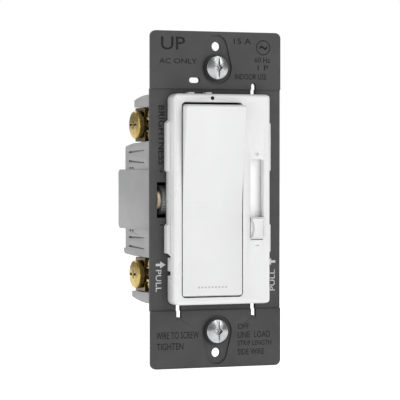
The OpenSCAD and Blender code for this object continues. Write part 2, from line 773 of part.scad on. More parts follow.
module trim_wheel_disc() {
    color("#b08d5b") difference() {
        rod_x(wheel_y, 0, wheel_x0, wheel_x0 + disc_t, wheel_r - 0.1);
        rod_x(wheel_y, 0, wheel_x0 + 0.4, wheel_x0 + 2, shaft_r + fit_gap);
    }
}

module trim_wheel_shaft() {
    color("#c8cacc") rod_x(wheel_y, 0, wheel_x0 + 0.4, switch_x - cradle_w / 2 - 1.8, shaft_r);
}

// ---- Terminals ----

// Clamp plate on the upper left: a flat plate whose ends turn in, with a notch at the front
module clamp_plate(hole_r) {
    z0 = term_z - term_h / 2 + touch_gap;
    z1 = term_z + term_h / 2 - touch_gap;
    difference() {
        union() {
            box([-clamp_x - clamp_t, term_y - term_w / 2, z0], [-clamp_x, term_y + term_w / 2, z1]);
            for (z = [z0, z1 - 1]) box([-clamp_x - clamp_t, term_y - term_w / 2, z],
                [-core_x - term_t - clamp_travel - 0.1, term_y + term_w / 2, z + 1]);
        }
        rod_x(term_y, term_z, -clamp_x - 3, -clamp_x + 1, hole_r);
        box([-clamp_x - 3, 0, term_z - 2.3], [-clamp_x + 1, term_y - 2.6, term_z + 2.3]);
        for (k = [-1:1]) box([-clamp_x - 0.2, 0, term_z + 4 * k - 0.3 + (k < 0 ? 0.8 : k > 0 ? -0.8 : 0)],
            [-clamp_x + eps, 30, term_z + 4 * k + 0.3 + (k < 0 ? 0.8 : k > 0 ? -0.8 : 0)]);
    }
}

// Pan head's side outline, in radius and height: a slightly domed face and a rounded edge
function pan_outline(r, h, edge, crown = 0.3) = concat([[0, 0], [r, 0]],
    [for (p = arc(r - edge, h - crown - edge, edge, 0, 80, 8)) p], [[r - 2 * edge, h - crown / 3], [0, h]]);

// Terminal screw on the upper left, with a cross recess in its pan head
module terminal_screw(head_r, hex) {
    x_seat = -clamp_x - clamp_t - touch_gap;
    x_out = x_seat - term_head_t;
    difference() {
        union() {
            rod_x(term_y, term_z, x_seat - eps, -core_x + 0.3, term_screw_r);
            if (hex) translate([x_out, term_y, term_z]) rotate([0, 90, 0])
                cylinder(h = term_head_t, r = head_r, $fn = 6);
            else translate([x_seat, term_y, term_z]) rotate([0, -90, 0]) rotate_extrude()
                polygon(pan_outline(head_r, term_head_t, term_head_edge));
        }
        for (a = [0, 90]) translate([x_out, term_y, term_z]) rotate([a, 0, 0])
            box([-1, -cross_arm, -cross_half], [cross_d, cross_arm, cross_half]);
    }
}

module ground_washer() {
    color("#a9adb0") on_side(true, true) difference() {
        rod_x(term_y, term_z, -clamp_x - clamp_t, -clamp_x, 4.9);
        rod_x(term_y, term_z, -clamp_x - 3, -clamp_x + 1, term_screw_r + turn_gap);
    }
}

// ---- Box screws ----

// Domed screw head's side outline, in radius and height
function dome_outline(r, rim, rise, n = 10) =
    let (R = (r * r + rise * rise) / (2 * rise), top = asin(r / R))
    concat([[0, 0], [r, 0]], [for (i = [0:n])
        let (a = top * (1 - i / n)) [R * sin(a), rim + rise - R + R * cos(a)]]);

module mounting_screw() {
    rim = 0.8;
    rise = 1;
    difference() {
        union() {
            translate([0, y_head, 0]) rotate([90, 0, 0]) rotate_extrude()
                polygon(dome_outline(box_head_r, rim, rise));
            rod_y(0, 0, y_head - eps, eps, box_neck_r);
            rod_y(0, 0, 0, box_screw_end, box_screw_r);
        }
        box([-0.5, y_head - 3, -box_head_r], [0.5, y_head - 0.9, box_head_r]);
        box([-1.5, y_head - 3, -1.5], [1.5, y_head - 0.6, 1.5]);
    }
}

module screw_washers() {
    color("#1f1f21") for (s = [-1, 1]) difference() {
        rod_y(0, s * box_pitch / 2, y_recess - washer_t, y_recess, box_head_r + 0.5);
        rod_y(0, s * box_pitch / 2, -5, 1, box_neck_r + turn_gap);
    }
}

// ---- Cover and controls ----

// Solid of the cover: round corners and rounded front edges
module cover_block() {
    r = cover_edge_r;
    intersection() {
        sheet(y_face, y_rim) translate([0, cover_z]) polygon(round_rect(cover_w, cover_h, cover_corner_r));
        rib(-cover_w, cover_w) translate([0, cover_z]) polygon(concat(
            arc(y_face + r, r - cover_h / 2, r, 270, 180, 8), arc(y_face + r, cover_h / 2 - r, r, 180, 90, 8),
            [[y_rim, cover_h / 2], [y_rim, -cover_h / 2]]));
        linear_extrude(2 * cover_h, center = true) polygon(concat(
            [for (p = arc(y_face + r, r - cover_w / 2, r, 270, 180, 8)) [p[1], p[0]]],
            [for (p = arc(y_face + r, cover_w / 2 - r, r, 180, 90, 8)) [p[1], p[0]]],
            [[cover_w / 2, y_rim], [-cover_w / 2, y_rim]]));
    }
}

// Rails along a side wall of the cover
module cover_rail(proud, z0, z1) {
    x = cover_w / 2;
    sheet(y_rim - 2.7, y_rim) polygon([[x - 0.1, z0], [x, z0], [x + proud, z0 + proud],
        [x + proud, z1 - proud], [x, z1], [x - 0.1, z1]]);
}

module cover_frame() {
    color("#f4f5f5") difference() {
        union() {
            difference() {
                union() {
                    cover_block();
                    for (s = [0, 1]) mirror([s, 0, 0]) {
                        cover_rail(1.2, 8.1, 25.2);
                        cover_rail(1.2, -17.7, -6.9);
                        cover_rail(0.5, -8, 9);
                    }
                    // thumb nubs on the top edge
                    for (x = [rocker_x, rocker_x - 6]) box([x - 1, y_rim - 2.6, cover_h / 2 + cover_z - 1],
                        [x + 1, y_rim, cover_h / 2 + cover_z + 0.5]);
                }
                sheet(y_inside, 0) translate([0, cover_z])
                    polygon(round_rect(cover_w - 2 * cover_wall, cover_h - 2 * cover_wall, 1));
            }
            // bearings of the rocker
            for (x = [[cover_wall - cover_w / 2 - eps, open_left], [open_right, open_right + bearing_t]])
                box([x[0], y_inside - eps, -4], [x[1], y_rim, 4]);
            // latches
            at_prongs() box([-prong_w / 2, y_rim - 1.4, cover_h / 2 - prong_t],
                [prong_w / 2, y_back + 1.2, cover_h / 2 - 0.05]);
            // guides of the locator's light pipe
            rod_y(rocker_x, led_z, y_inside - eps, y_rim, lens_r + 0.5);
        }
        sheet(y_face - 1, y_inside + eps) translate([rocker_x, 0]) polygon(round_rect(open_w, open_h, 1.3));
        sheet(y_face - 1, y_inside + eps) translate([slot_x, 0]) polygon(round_rect(slot_w, slot_h, 0.6));
        rod_x(y_pivot, 0, open_left - 1.5, open_left + 1, bore_r);
        rod_x(y_pivot, 0, open_right - 1, open_right + bearing_t + 1, bore_r);
        rod_y(rocker_x, led_z, y_face - 1, 0, lens_r + 0.05);
        for (s = [-1, 1], z = [-18.1, -23.7])
            box([s > 0 ? cover_w / 2 - 0.9 : -cover_w / 2 - 2, y_rim - 2.4, z],
                [s > 0 ? cover_w / 2 + 2 : 0.9 - cover_w / 2, 0, z + 1.35]);
        // engraved signs at the ends of the slider's slot
        for (s = [-1, 1]) translate([slot_x, y_face, s * (slot_h / 2 + 1.75)]) {
            box([-0.65, -1, -0.13], [0.65, 0.15, 0.13]);
            if (s > 0) box([-0.13, -1, -0.65], [0.13, 0.15, 0.65]);
        }
    }
}

module slider_retainer() {
    w = shutter_w + 0.2;
    h = cover_h / 2 - cover_wall - seat_gap;
    color("#dcdcda") difference() {
        translate([slot_x, 0, cover_z]) for (s = [0, 1]) mirror([0, 0, s]) {
            box([-w / 2, y_retainer, -eps], [w / 2, y_retainer + retainer_t, h - 1]);
            box([1 - w / 2, y_retainer, 0], [w / 2 - 1, y_retainer + retainer_t, h]);
            box([1 - w / 2, y_inside, h - 0.4], [w / 2 - 1, y_retainer + retainer_t, h]);
        }
        sheet(y_retainer - 1, 0) slot_outline(slot_x, knob_z - 1.4, -knob_z + 1.4, blade_w + 0.6);
        box([-20, y_retainer - 1, -4.3], [open_right + bearing_t + 0.1, 0, 4.3]);
    }
}

module locator_lens() {
    color("#303234") rod_y(rocker_x, led_z, y_face, y_rim, lens_r);
}

// Side outline of the rocker about its pivot, in Y and Z
function rocker_outline(back) = let (R = 110, h = rocker_h / 2, c = -(rocker_rise + R) / cos(tilt),
    lip = (rocker_rise + h * sin(tilt)) / cos(tilt))
    concat([[-back, -h], [-lip + 0.5, -h], [-lip, 0.5 - h]], arc(c, 0, R, -tilt, tilt),
        [[-lip, h - 0.5], [0.5 - lip, h], [-back, h]]);

module rocker_paddle() {
    skin = 1.5;
    x0 = rocker_x - rocker_w / 2;
    x1 = rocker_x + rocker_w / 2;
    back = 1.3;
    color("#f6f7f7") turned(y_pivot, tilt) translate([0, y_pivot, 0]) {
        difference() {
            intersection() {
                rib(x0, x1) polygon(rocker_outline(back));
                sheet(-12, 0) translate([rocker_x, 0]) polygon(round_rect(rocker_w, rocker_h, 1));
            }
            translate([skin, 0, 0]) rib(x0 + skin, x1 - 3 * skin) polygon([for (p = rocker_outline(back - 1))
                [p[0] + skin + 0.2, p[1] * (1 - 2 * skin / rocker_h)]]);
            rib(x0 + skin, x0 + 2 * skin) polygon([for (p = rocker_outline(back - 1))
                [p[0] + skin + 0.2, p[1] * (1 - 2 * skin / rocker_h)]]);
        }
        for (x = [x0, x1 - skin]) {
            rod_x(0, 0, x, x + skin, trunnion_r + 0.7);
            box([x, -back - 0.2, -1.7], [x + skin, 0, 1.7]);
        }
        rod_x(0, 0, x0 - 1.3, x0 + eps, trunnion_r);
        rod_x(0, 0, x1 - eps, x1 + 1.3, trunnion_r);
        for (z = [-rib_z, rib_z])
            box([switch_x - 3, 0.4 - rocker_rise, z - 0.6], [switch_x + 3, 0.95, z + 0.6]);
    }
}

module slot_shutter() {
    color("#f2f3f3") translate([slot_x, 0, knob_z]) difference() {
        box([-shutter_w / 2, y_shutter, -shutter_h / 2],
            [shutter_w / 2, y_shutter + shutter_t, shutter_h / 2]);
        box([-blade_w / 2 - fit_gap, y_shutter - 1, -blade_h / 2 - fit_gap],
            [blade_w / 2 + fit_gap, y_shutter + 2, blade_h / 2 + fit_gap]);
    }
}

module slider_knob() {
    proud = 1;
    w = knob_w / 2;
    h = knob_h / 2;
    color("#f6f7f7") translate([slot_x, 0, knob_z]) {
        box([-w, y_face - 0.2, -h], [w, y_shutter, h]);
        // pinched ridge with flared ends
        sheet(y_face - proud, y_face) polygon(concat(
            [for (i = [-8:8]) let (t = i / 8) [-w * (0.55 + 0.4 * t * t), h * 0.86 * t]],
            [for (i = [8:-1:-8]) let (t = i / 8) [w * (0.55 + 0.4 * t * t), h * 0.86 * t]]));
        box([-blade_w / 2, y_shutter - eps, -blade_h / 2], [blade_w / 2, y_blade, blade_h / 2]);
    }
}

mounting_strap();
rear_housing();
insulator_sheet();
circuit_board();
triac();
triac_pad();
triac_rivet();
choke_core();
choke_winding();
film_capacitor_large();
film_capacitor_small();
diac();
resistors();
slide_pot_shell();
slide_pot_track();
trim_pot_body();
switch_cradle();
common_bar();
color("#b98d48") traveler_bar();  // traveler_bar_upper
color("#b98d48") on_side(false, true) traveler_bar();  // traveler_bar_lower
fixed_contacts();
locator_led();
ground_tab();
housing_screws();
screw_washers();
cover_frame();
slider_retainer();
locator_lens();
rocker_paddle();
slider_knob();
slot_shutter();
slide_pot_carriage();
slide_pot_wiper();
switch_actuator();
contact_spring();
contact_plunger();
seesaw_contact();
seesaw_tips();
trim_wheel();
trim_wheel_disc();
trim_wheel_shaft();
color("#c79f52") clamp_plate(term_screw_r + turn_gap);  // clamp_plate_upper_left
color("#c79f52") on_side(false, true) clamp_plate(term_screw_r + turn_gap);  // clamp_plate_lower_left
color("#c79f52") on_side(true, false) clamp_plate(term_screw_r + turn_gap);  // clamp_plate_upper_right
color("#c79f52") terminal_screw(term_head_r, false);  // terminal_screw_upper_left
color("#c79f52") on_side(false, true) terminal_screw(term_head_r, false);  // terminal_screw_lower_left
color("#2b2b2d") on_side(true, false) terminal_screw(term_head_r, false);  // terminal_screw_upper_right
ground_washer();
color("#3f8f4f") on_side(true, true) terminal_screw(term_head_r, true);  // ground_screw
color("#c9ccce") translate([0, 0, box_pitch / 2]) mounting_screw();  // mounting_screw_top
color("#c9ccce") translate([0, 0, -box_pitch / 2]) mounting_screw();  // mounting_screw_bottom
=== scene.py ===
import json
import math
import bmesh
import bpy
from mathutils import Matrix, Vector
from mathutils.bvhtree import BVHTree


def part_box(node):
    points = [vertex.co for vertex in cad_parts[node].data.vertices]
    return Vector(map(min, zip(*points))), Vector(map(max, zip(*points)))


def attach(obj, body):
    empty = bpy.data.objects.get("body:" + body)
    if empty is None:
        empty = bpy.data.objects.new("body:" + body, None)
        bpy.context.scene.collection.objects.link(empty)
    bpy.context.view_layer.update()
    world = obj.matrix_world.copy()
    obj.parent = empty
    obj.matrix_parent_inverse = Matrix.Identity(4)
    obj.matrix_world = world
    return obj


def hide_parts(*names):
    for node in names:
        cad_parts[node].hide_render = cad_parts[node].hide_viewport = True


# Wall dimmer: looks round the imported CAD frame. Sizes are in millimetres until mm turns them into metres.
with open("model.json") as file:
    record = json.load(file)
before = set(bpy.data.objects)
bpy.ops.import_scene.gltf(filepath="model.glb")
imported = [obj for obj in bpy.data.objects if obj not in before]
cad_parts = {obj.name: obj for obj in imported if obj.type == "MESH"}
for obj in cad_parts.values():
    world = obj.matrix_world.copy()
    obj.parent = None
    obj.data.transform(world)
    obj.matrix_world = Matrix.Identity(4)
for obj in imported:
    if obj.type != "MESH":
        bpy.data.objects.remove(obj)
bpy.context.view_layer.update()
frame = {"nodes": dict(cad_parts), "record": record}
mm = 0.001
scene = bpy.context.scene
record = frame["record"]
slotOf = {part["node"]: part["material_slot"] for part in record["subparts"]}
bodyOf = {node: body for body, members in record["behaviour"]["bodies"].items() for node in members}
strapLow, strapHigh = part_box("mounting_strap")
rockerLow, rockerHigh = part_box("rocker_paddle")
print("frame loaded")


# Angles in degrees, the rest in millimetres; aimRight and aimUp shift the camera's aim off the part's centre
cameraLook = {"turn": 23.507, "rise": 0.927, "distance": 720.12, "lens": 204.55, "near": 10,
    "aimRight": -4.675, "aimUp": -0.139}


def makeCamera(look):
    turn, rise = math.radians(look["turn"]), math.radians(look["rise"])
    back = Vector((-math.sin(turn) * math.cos(rise), -math.cos(turn) * math.cos(rise), math.sin(rise)))
    right = (-back).cross(Vector((0, 0, 1))).normalized()
    up = right.cross(-back)
    target = (right * look["aimRight"] + up * look["aimUp"]) * mm
    data = bpy.data.cameras.new("camera")
    data.lens = look["lens"]
    data.clip_start = look["near"] * mm
    camera = bpy.data.objects.new("camera", data)
    scene.collection.objects.link(camera)
    facing = back.to_track_quat("Z", "Y").to_matrix().to_4x4()
    camera.matrix_world = Matrix.Translation(target + back * look["distance"] * mm) @ facing
    scene.camera = camera


# Places and sizes are in metres, power in watts; every light aims at the origin
lights = {
    "keyLight": {"place": (0.55, -0.95, 0.75), "size": (0.7, 0.7), "power": 6.0},
    "leftFill": {"place": (-1.1, -0.25, 0.3), "size": (0.6, 0.9), "power": 3.7},
    "frontCard": {"place": (0.62, -1.35, 0.1), "size": (0.5, 0.8), "power": 2.2},
    "backFill": {"place": (-0.3, 1.2, 0.7), "size": (0.9, 0.9), "power": 4.9},
}


def makeLight(name, look):
    data = bpy.data.lights.new(name, "AREA")
    data.shape = "RECTANGLE"
    data.size, data.size_y = look["size"]
    data.energy = look["power"]
    light = bpy.data.objects.new(name, data)
    scene.collection.objects.link(light)
    place = Vector(look["place"])
    light.matrix_world = Matrix.Translation(place) @ place.to_track_quat("Z", "Y").to_matrix().to_4x4()
    light.visible_camera = False


# Strengths of the light round the part, of the backdrop the camera sees and of the floor's own glow
stageLook = {"world": 0.26, "backdrop": 1.0, "glow": 0.85, "paint": 0.9, "drop": 0.1, "reach": 6}


def makeWorld(strength, seen):
    world = bpy.data.worlds.new("studio")
    scene.world = world
    world.use_nodes = True
    tree = world.node_tree
    tree.nodes.clear()
    path = tree.nodes.new("ShaderNodeLightPath")
    lighting = tree.nodes.new("ShaderNodeBackground")
    backdrop = tree.nodes.new("ShaderNodeBackground")
    mix = tree.nodes.new("ShaderNodeMixShader")
    out = tree.nodes.new("ShaderNodeOutputWorld")
    for background, level in ((lighting, strength), (backdrop, seen)):
        background.inputs["Color"].default_value = (1, 1, 1, 1)
        background.inputs["Strength"].default_value = level
    tree.links.new(path.outputs["Is Camera Ray"], mix.inputs[0])
    tree.links.new(lighting.outputs[0], mix.inputs[1])
    tree.links.new(backdrop.outputs[0], mix.inputs[2])
    tree.links.new(mix.outputs[0], out.inputs[0])


def makeFloor(height, reach):
    mesh = bpy.data.meshes.new("studioFloor")
    corners = [(-reach, -reach, height), (reach, -reach, height), (reach, reach, height),
        (-reach, reach, height)]
    mesh.from_pydata(corners, [], [(0, 1, 2, 3)])
    floor = bpy.data.objects.new("studioFloor", mesh)
    scene.collection.objects.link(floor)
    paint = bpy.data.materials.new("floorPaint")
    paint.use_nodes = True
    shader = paint.node_tree.nodes["Principled BSDF"]
    shader.inputs["Base Color"].default_value = (*[stageLook["paint"]] * 3, 1)
    shader.inputs["Roughness"].default_value = 0.9
    shader.inputs["Emission Color"].default_value = (1, 1, 1, 1)
    shader.inputs["Emission Strength"].default_value = stageLook["glow"]
    mesh.materials.append(paint)


scene.view_settings.view_transform = "Standard"
makeCamera(cameraLook)
makeWorld(stageLook["world"], stageLook["backdrop"])
makeFloor(strapLow.z - stageLook["drop"] * mm, stageLook["reach"])
for name, look in lights.items():
    makeLight(name, look)
print("stage set")


def makeGroup(name, inputs, outputs):
    group = bpy.data.node_groups.new(name, "ShaderNodeTree")
    for label, kind, value in inputs:
        socket = group.interface.new_socket(label, in_out="INPUT", socket_type=kind)
        if value is not None:
            socket.default_value = value
    for label, kind in outputs:
        group.interface.new_socket(label, in_out="OUTPUT", socket_type=kind)
    return group, group.nodes.new("NodeGroupInput"), group.nodes.new("NodeGroupOutput")


def addNode(tree, kind, settings=None, **values):
    node = tree.nodes.new(kind)
    for key, value in (settings or {}).items():
        setattr(node, key, value)
    for key, value in values.items():
        node.inputs[key.replace("_", " ")].default_value = value
    return node


def mathNode(tree, operation, first, second=None):
    node = tree.nodes.new("ShaderNodeMath")
    node.operation = operation
    for slot, value in ((0, first), (1, second)):
        if isinstance(value, (int, float)):
            node.inputs[slot].default_value = value
        elif value is not None:
            tree.links.new(value, node.inputs[slot])
    return node.outputs[0]


# Shared effects: every group takes Object coordinates and gives masks, heights, normals or values
def makeMouldGrain():
    group, entry, leave = makeGroup("mouldGrain",
        [("Vector", "NodeSocketVector", None), ("Scale", "NodeSocketFloat", 3000.0),
        ("Cloud Scale", "NodeSocketFloat", 160.0)],
        [("Height", "NodeSocketFloat"), ("Cloud", "NodeSocketFloat")])
    fine = addNode(group, "ShaderNodeTexNoise", Detail=4.0, Roughness=0.62)
    pits = addNode(group, "ShaderNodeTexVoronoi", {"feature": "SMOOTH_F1"})
    cloud = addNode(group, "ShaderNodeTexNoise", Detail=3.0, Roughness=0.5)
    for texture in (fine, pits, cloud):
        group.links.new(entry.outputs["Vector"], texture.inputs["Vector"])
    group.links.new(entry.outputs["Scale"], fine.inputs["Scale"])
    group.links.new(mathNode(group, "MULTIPLY", entry.outputs["Scale"], 0.6), pits.inputs["Scale"])
    group.links.new(entry.outputs["Cloud Scale"], cloud.inputs["Scale"])
    height = mathNode(group, "ADD", fine.outputs["Fac"],
        mathNode(group, "MULTIPLY", pits.outputs["Distance"], 0.5))
    group.links.new(height, leave.inputs["Height"])
    spread = addNode(group, "ShaderNodeMapRange", {"clamp": True}, From_Min=0.3, From_Max=0.7)
    group.links.new(cloud.outputs["Fac"], spread.inputs["Value"])
    group.links.new(spread.outputs["Result"], leave.inputs["Cloud"])
    return group


def makeEdgeWear():
    group, entry, leave = makeGroup("edgeWear",
        [("Vector", "NodeSocketVector", None), ("Width", "NodeSocketFloat", 0.0002),
        ("Breakup", "NodeSocketFloat", 900.0)],
        [("Mask", "NodeSocketFloat"), ("Normal", "NodeSocketVector")])
    rounded = addNode(group, "ShaderNodeBevel", {"samples": 6})
    shape = group.nodes.new("ShaderNodeNewGeometry")
    dot = addNode(group, "ShaderNodeVectorMath", {"operation": "DOT_PRODUCT"})
    breakup = addNode(group, "ShaderNodeTexNoise", Detail=3.0)
    group.links.new(entry.outputs["Width"], rounded.inputs["Radius"])
    group.links.new(entry.outputs["Vector"], breakup.inputs["Vector"])
    group.links.new(entry.outputs["Breakup"], breakup.inputs["Scale"])
    group.links.new(rounded.outputs["Normal"], dot.inputs[0])
    group.links.new(shape.outputs["Normal"], dot.inputs[1])
    turned = mathNode(group, "SUBTRACT", 1.0, dot.outputs["Value"])
    edge = addNode(group, "ShaderNodeMapRange", {"clamp": True}, From_Min=0.02, From_Max=0.2)
    group.links.new(turned, edge.inputs["Value"])
    worn = addNode(group, "ShaderNodeMapRange", {"clamp": True}, From_Min=0.35, From_Max=0.7)
    group.links.new(breakup.outputs["Fac"], worn.inputs["Value"])
    group.links.new(mathNode(group, "MULTIPLY", edge.outputs["Result"], worn.outputs["Result"]),
        leave.inputs["Mask"])
    group.links.new(rounded.outputs["Normal"], leave.inputs["Normal"])
    return group


def makeToolLines():
    group, entry, leave = makeGroup("toolLines",
        [("Vector", "NodeSocketVector", None), ("Across", "NodeSocketVector", (1.0, 1.0, 0.05)),
        ("Scale", "NodeSocketFloat", 5000.0)],
        [("Height", "NodeSocketFloat"), ("Streak", "NodeSocketFloat")])
    stretch = addNode(group, "ShaderNodeVectorMath", {"operation": "MULTIPLY"})
    lines = addNode(group, "ShaderNodeTexNoise", Detail=2.0, Roughness=0.7)
    group.links.new(entry.outputs["Vector"], stretch.inputs[0])
    group.links.new(entry.outputs["Across"], stretch.inputs[1])
    group.links.new(stretch.outputs["Vector"], lines.inputs["Vector"])
    group.links.new(entry.outputs["Scale"], lines.inputs["Scale"])
    group.links.new(lines.outputs["Fac"], leave.inputs["Height"])
    streak = addNode(group, "ShaderNodeMapRange", {"clamp": True}, From_Min=0.35, From_Max=0.65)
    group.links.new(lines.outputs["Fac"], streak.inputs["Value"])
    group.links.new(streak.outputs["Result"], leave.inputs["Streak"])
    return group


def makeRoughDrift():
    group, entry, leave = makeGroup("roughDrift",
        [("Vector", "NodeSocketVector", None), ("Low", "NodeSocketFloat", 0.3),
        ("High", "NodeSocketFloat", 0.4), ("Scale", "NodeSocketFloat", 90.0)],
        [("Roughness", "NodeSocketFloat")])
    drift = addNode(group, "ShaderNodeTexNoise", Detail=4.0, Roughness=0.6)
    group.links.new(entry.outputs["Vector"], drift.inputs["Vector"])
    group.links.new(entry.outputs["Scale"], drift.inputs["Scale"])
    spread = addNode(group, "ShaderNodeMapRange", {"clamp": True}, From_Min=0.3, From_Max=0.7)
    group.links.new(drift.outputs["Fac"], spread.inputs["Value"])
    group.links.new(entry.outputs["Low"], spread.inputs["To Min"])
    group.links.new(entry.outputs["High"], spread.inputs["To Max"])
    group.links.new(spread.outputs["Result"], leave.inputs["Roughness"])
    return group


# Painted shade: the colour is darkened where ambient occlusion finds other surfaces within Reach (recesses,
# gaps between parts, under edges), broken up by noise
def makePaintedShadeGroup():
    group, entry, leave = makeGroup("paintedShadeGroup",
        [("Vector", "NodeSocketVector", None), ("Reach", "NodeSocketFloat", 0.002)],
        [("Mask", "NodeSocketFloat")])
    shadow = addNode(group, "ShaderNodeAmbientOcclusion", {"samples": 6})
    group.links.new(entry.outputs["Reach"], shadow.inputs["Distance"])
    breakup = addNode(group, "ShaderNodeTexNoise", Scale=700.0, Detail=3.0)
    group.links.new(entry.outputs["Vector"], breakup.inputs["Vector"])
    deep = addNode(group, "ShaderNodeMapRange", {"clamp": True}, From_Min=0.75, From_Max=0.25)
    group.links.new(shadow.outputs["AO"], deep.inputs["Value"])
    patchy = addNode(group, "ShaderNodeMapRange", {"clamp": True}, From_Min=0.2, From_Max=0.6, To_Min=0.6)
    group.links.new(breakup.outputs["Fac"], patchy.inputs["Value"])
    group.links.new(mathNode(group, "MULTIPLY", deep.outputs["Result"], patchy.outputs["Result"]),
        leave.inputs["Mask"])
    return group


# Walls that face along the sheet, away from its rim: the walls of holes punched through the dark enamel
# strap, which are painted near-black as painted shade
def makeHoleWallShade():
    group, entry, leave = makeGroup("holeWallShadeGroup",
        [("Vector", "NodeSocketVector", None), ("Half Width", "NodeSocketFloat", 0.02),
        ("Half Height", "NodeSocketFloat", 0.05)], [("Mask", "NodeSocketFloat")])
    shape = group.nodes.new("ShaderNodeNewGeometry")
    facing = group.nodes.new("ShaderNodeSeparateXYZ")
    group.links.new(shape.outputs["True Normal"], facing.inputs[0])
    spot = group.nodes.new("ShaderNodeSeparateXYZ")
    group.links.new(entry.outputs["Vector"], spot.inputs[0])
    level = mathNode(group, "LESS_THAN", mathNode(group, "ABSOLUTE", facing.outputs["Y"]), 0.3)
    inX = mathNode(group, "LESS_THAN", mathNode(group, "ABSOLUTE", spot.outputs["X"]),
        entry.outputs["Half Width"])
    inZ = mathNode(group, "LESS_THAN", mathNode(group, "ABSOLUTE", spot.outputs["Z"]),
        entry.outputs["Half Height"])
    group.links.new(mathNode(group, "MULTIPLY", level, mathNode(group, "MULTIPLY", inX, inZ)),
        leave.inputs["Mask"])
    return group


paintedShadeGroup = makePaintedShadeGroup()
holeWallShadeGroup = makeHoleWallShade()
mouldGrain = makeMouldGrain()
edgeWear = makeEdgeWear()
toolLines = makeToolLines()
roughDrift = makeRoughDrift()


# Walls less than this far inside the strap's outline aren't punched ones, and get no painted shade
punchedInset = 0.6
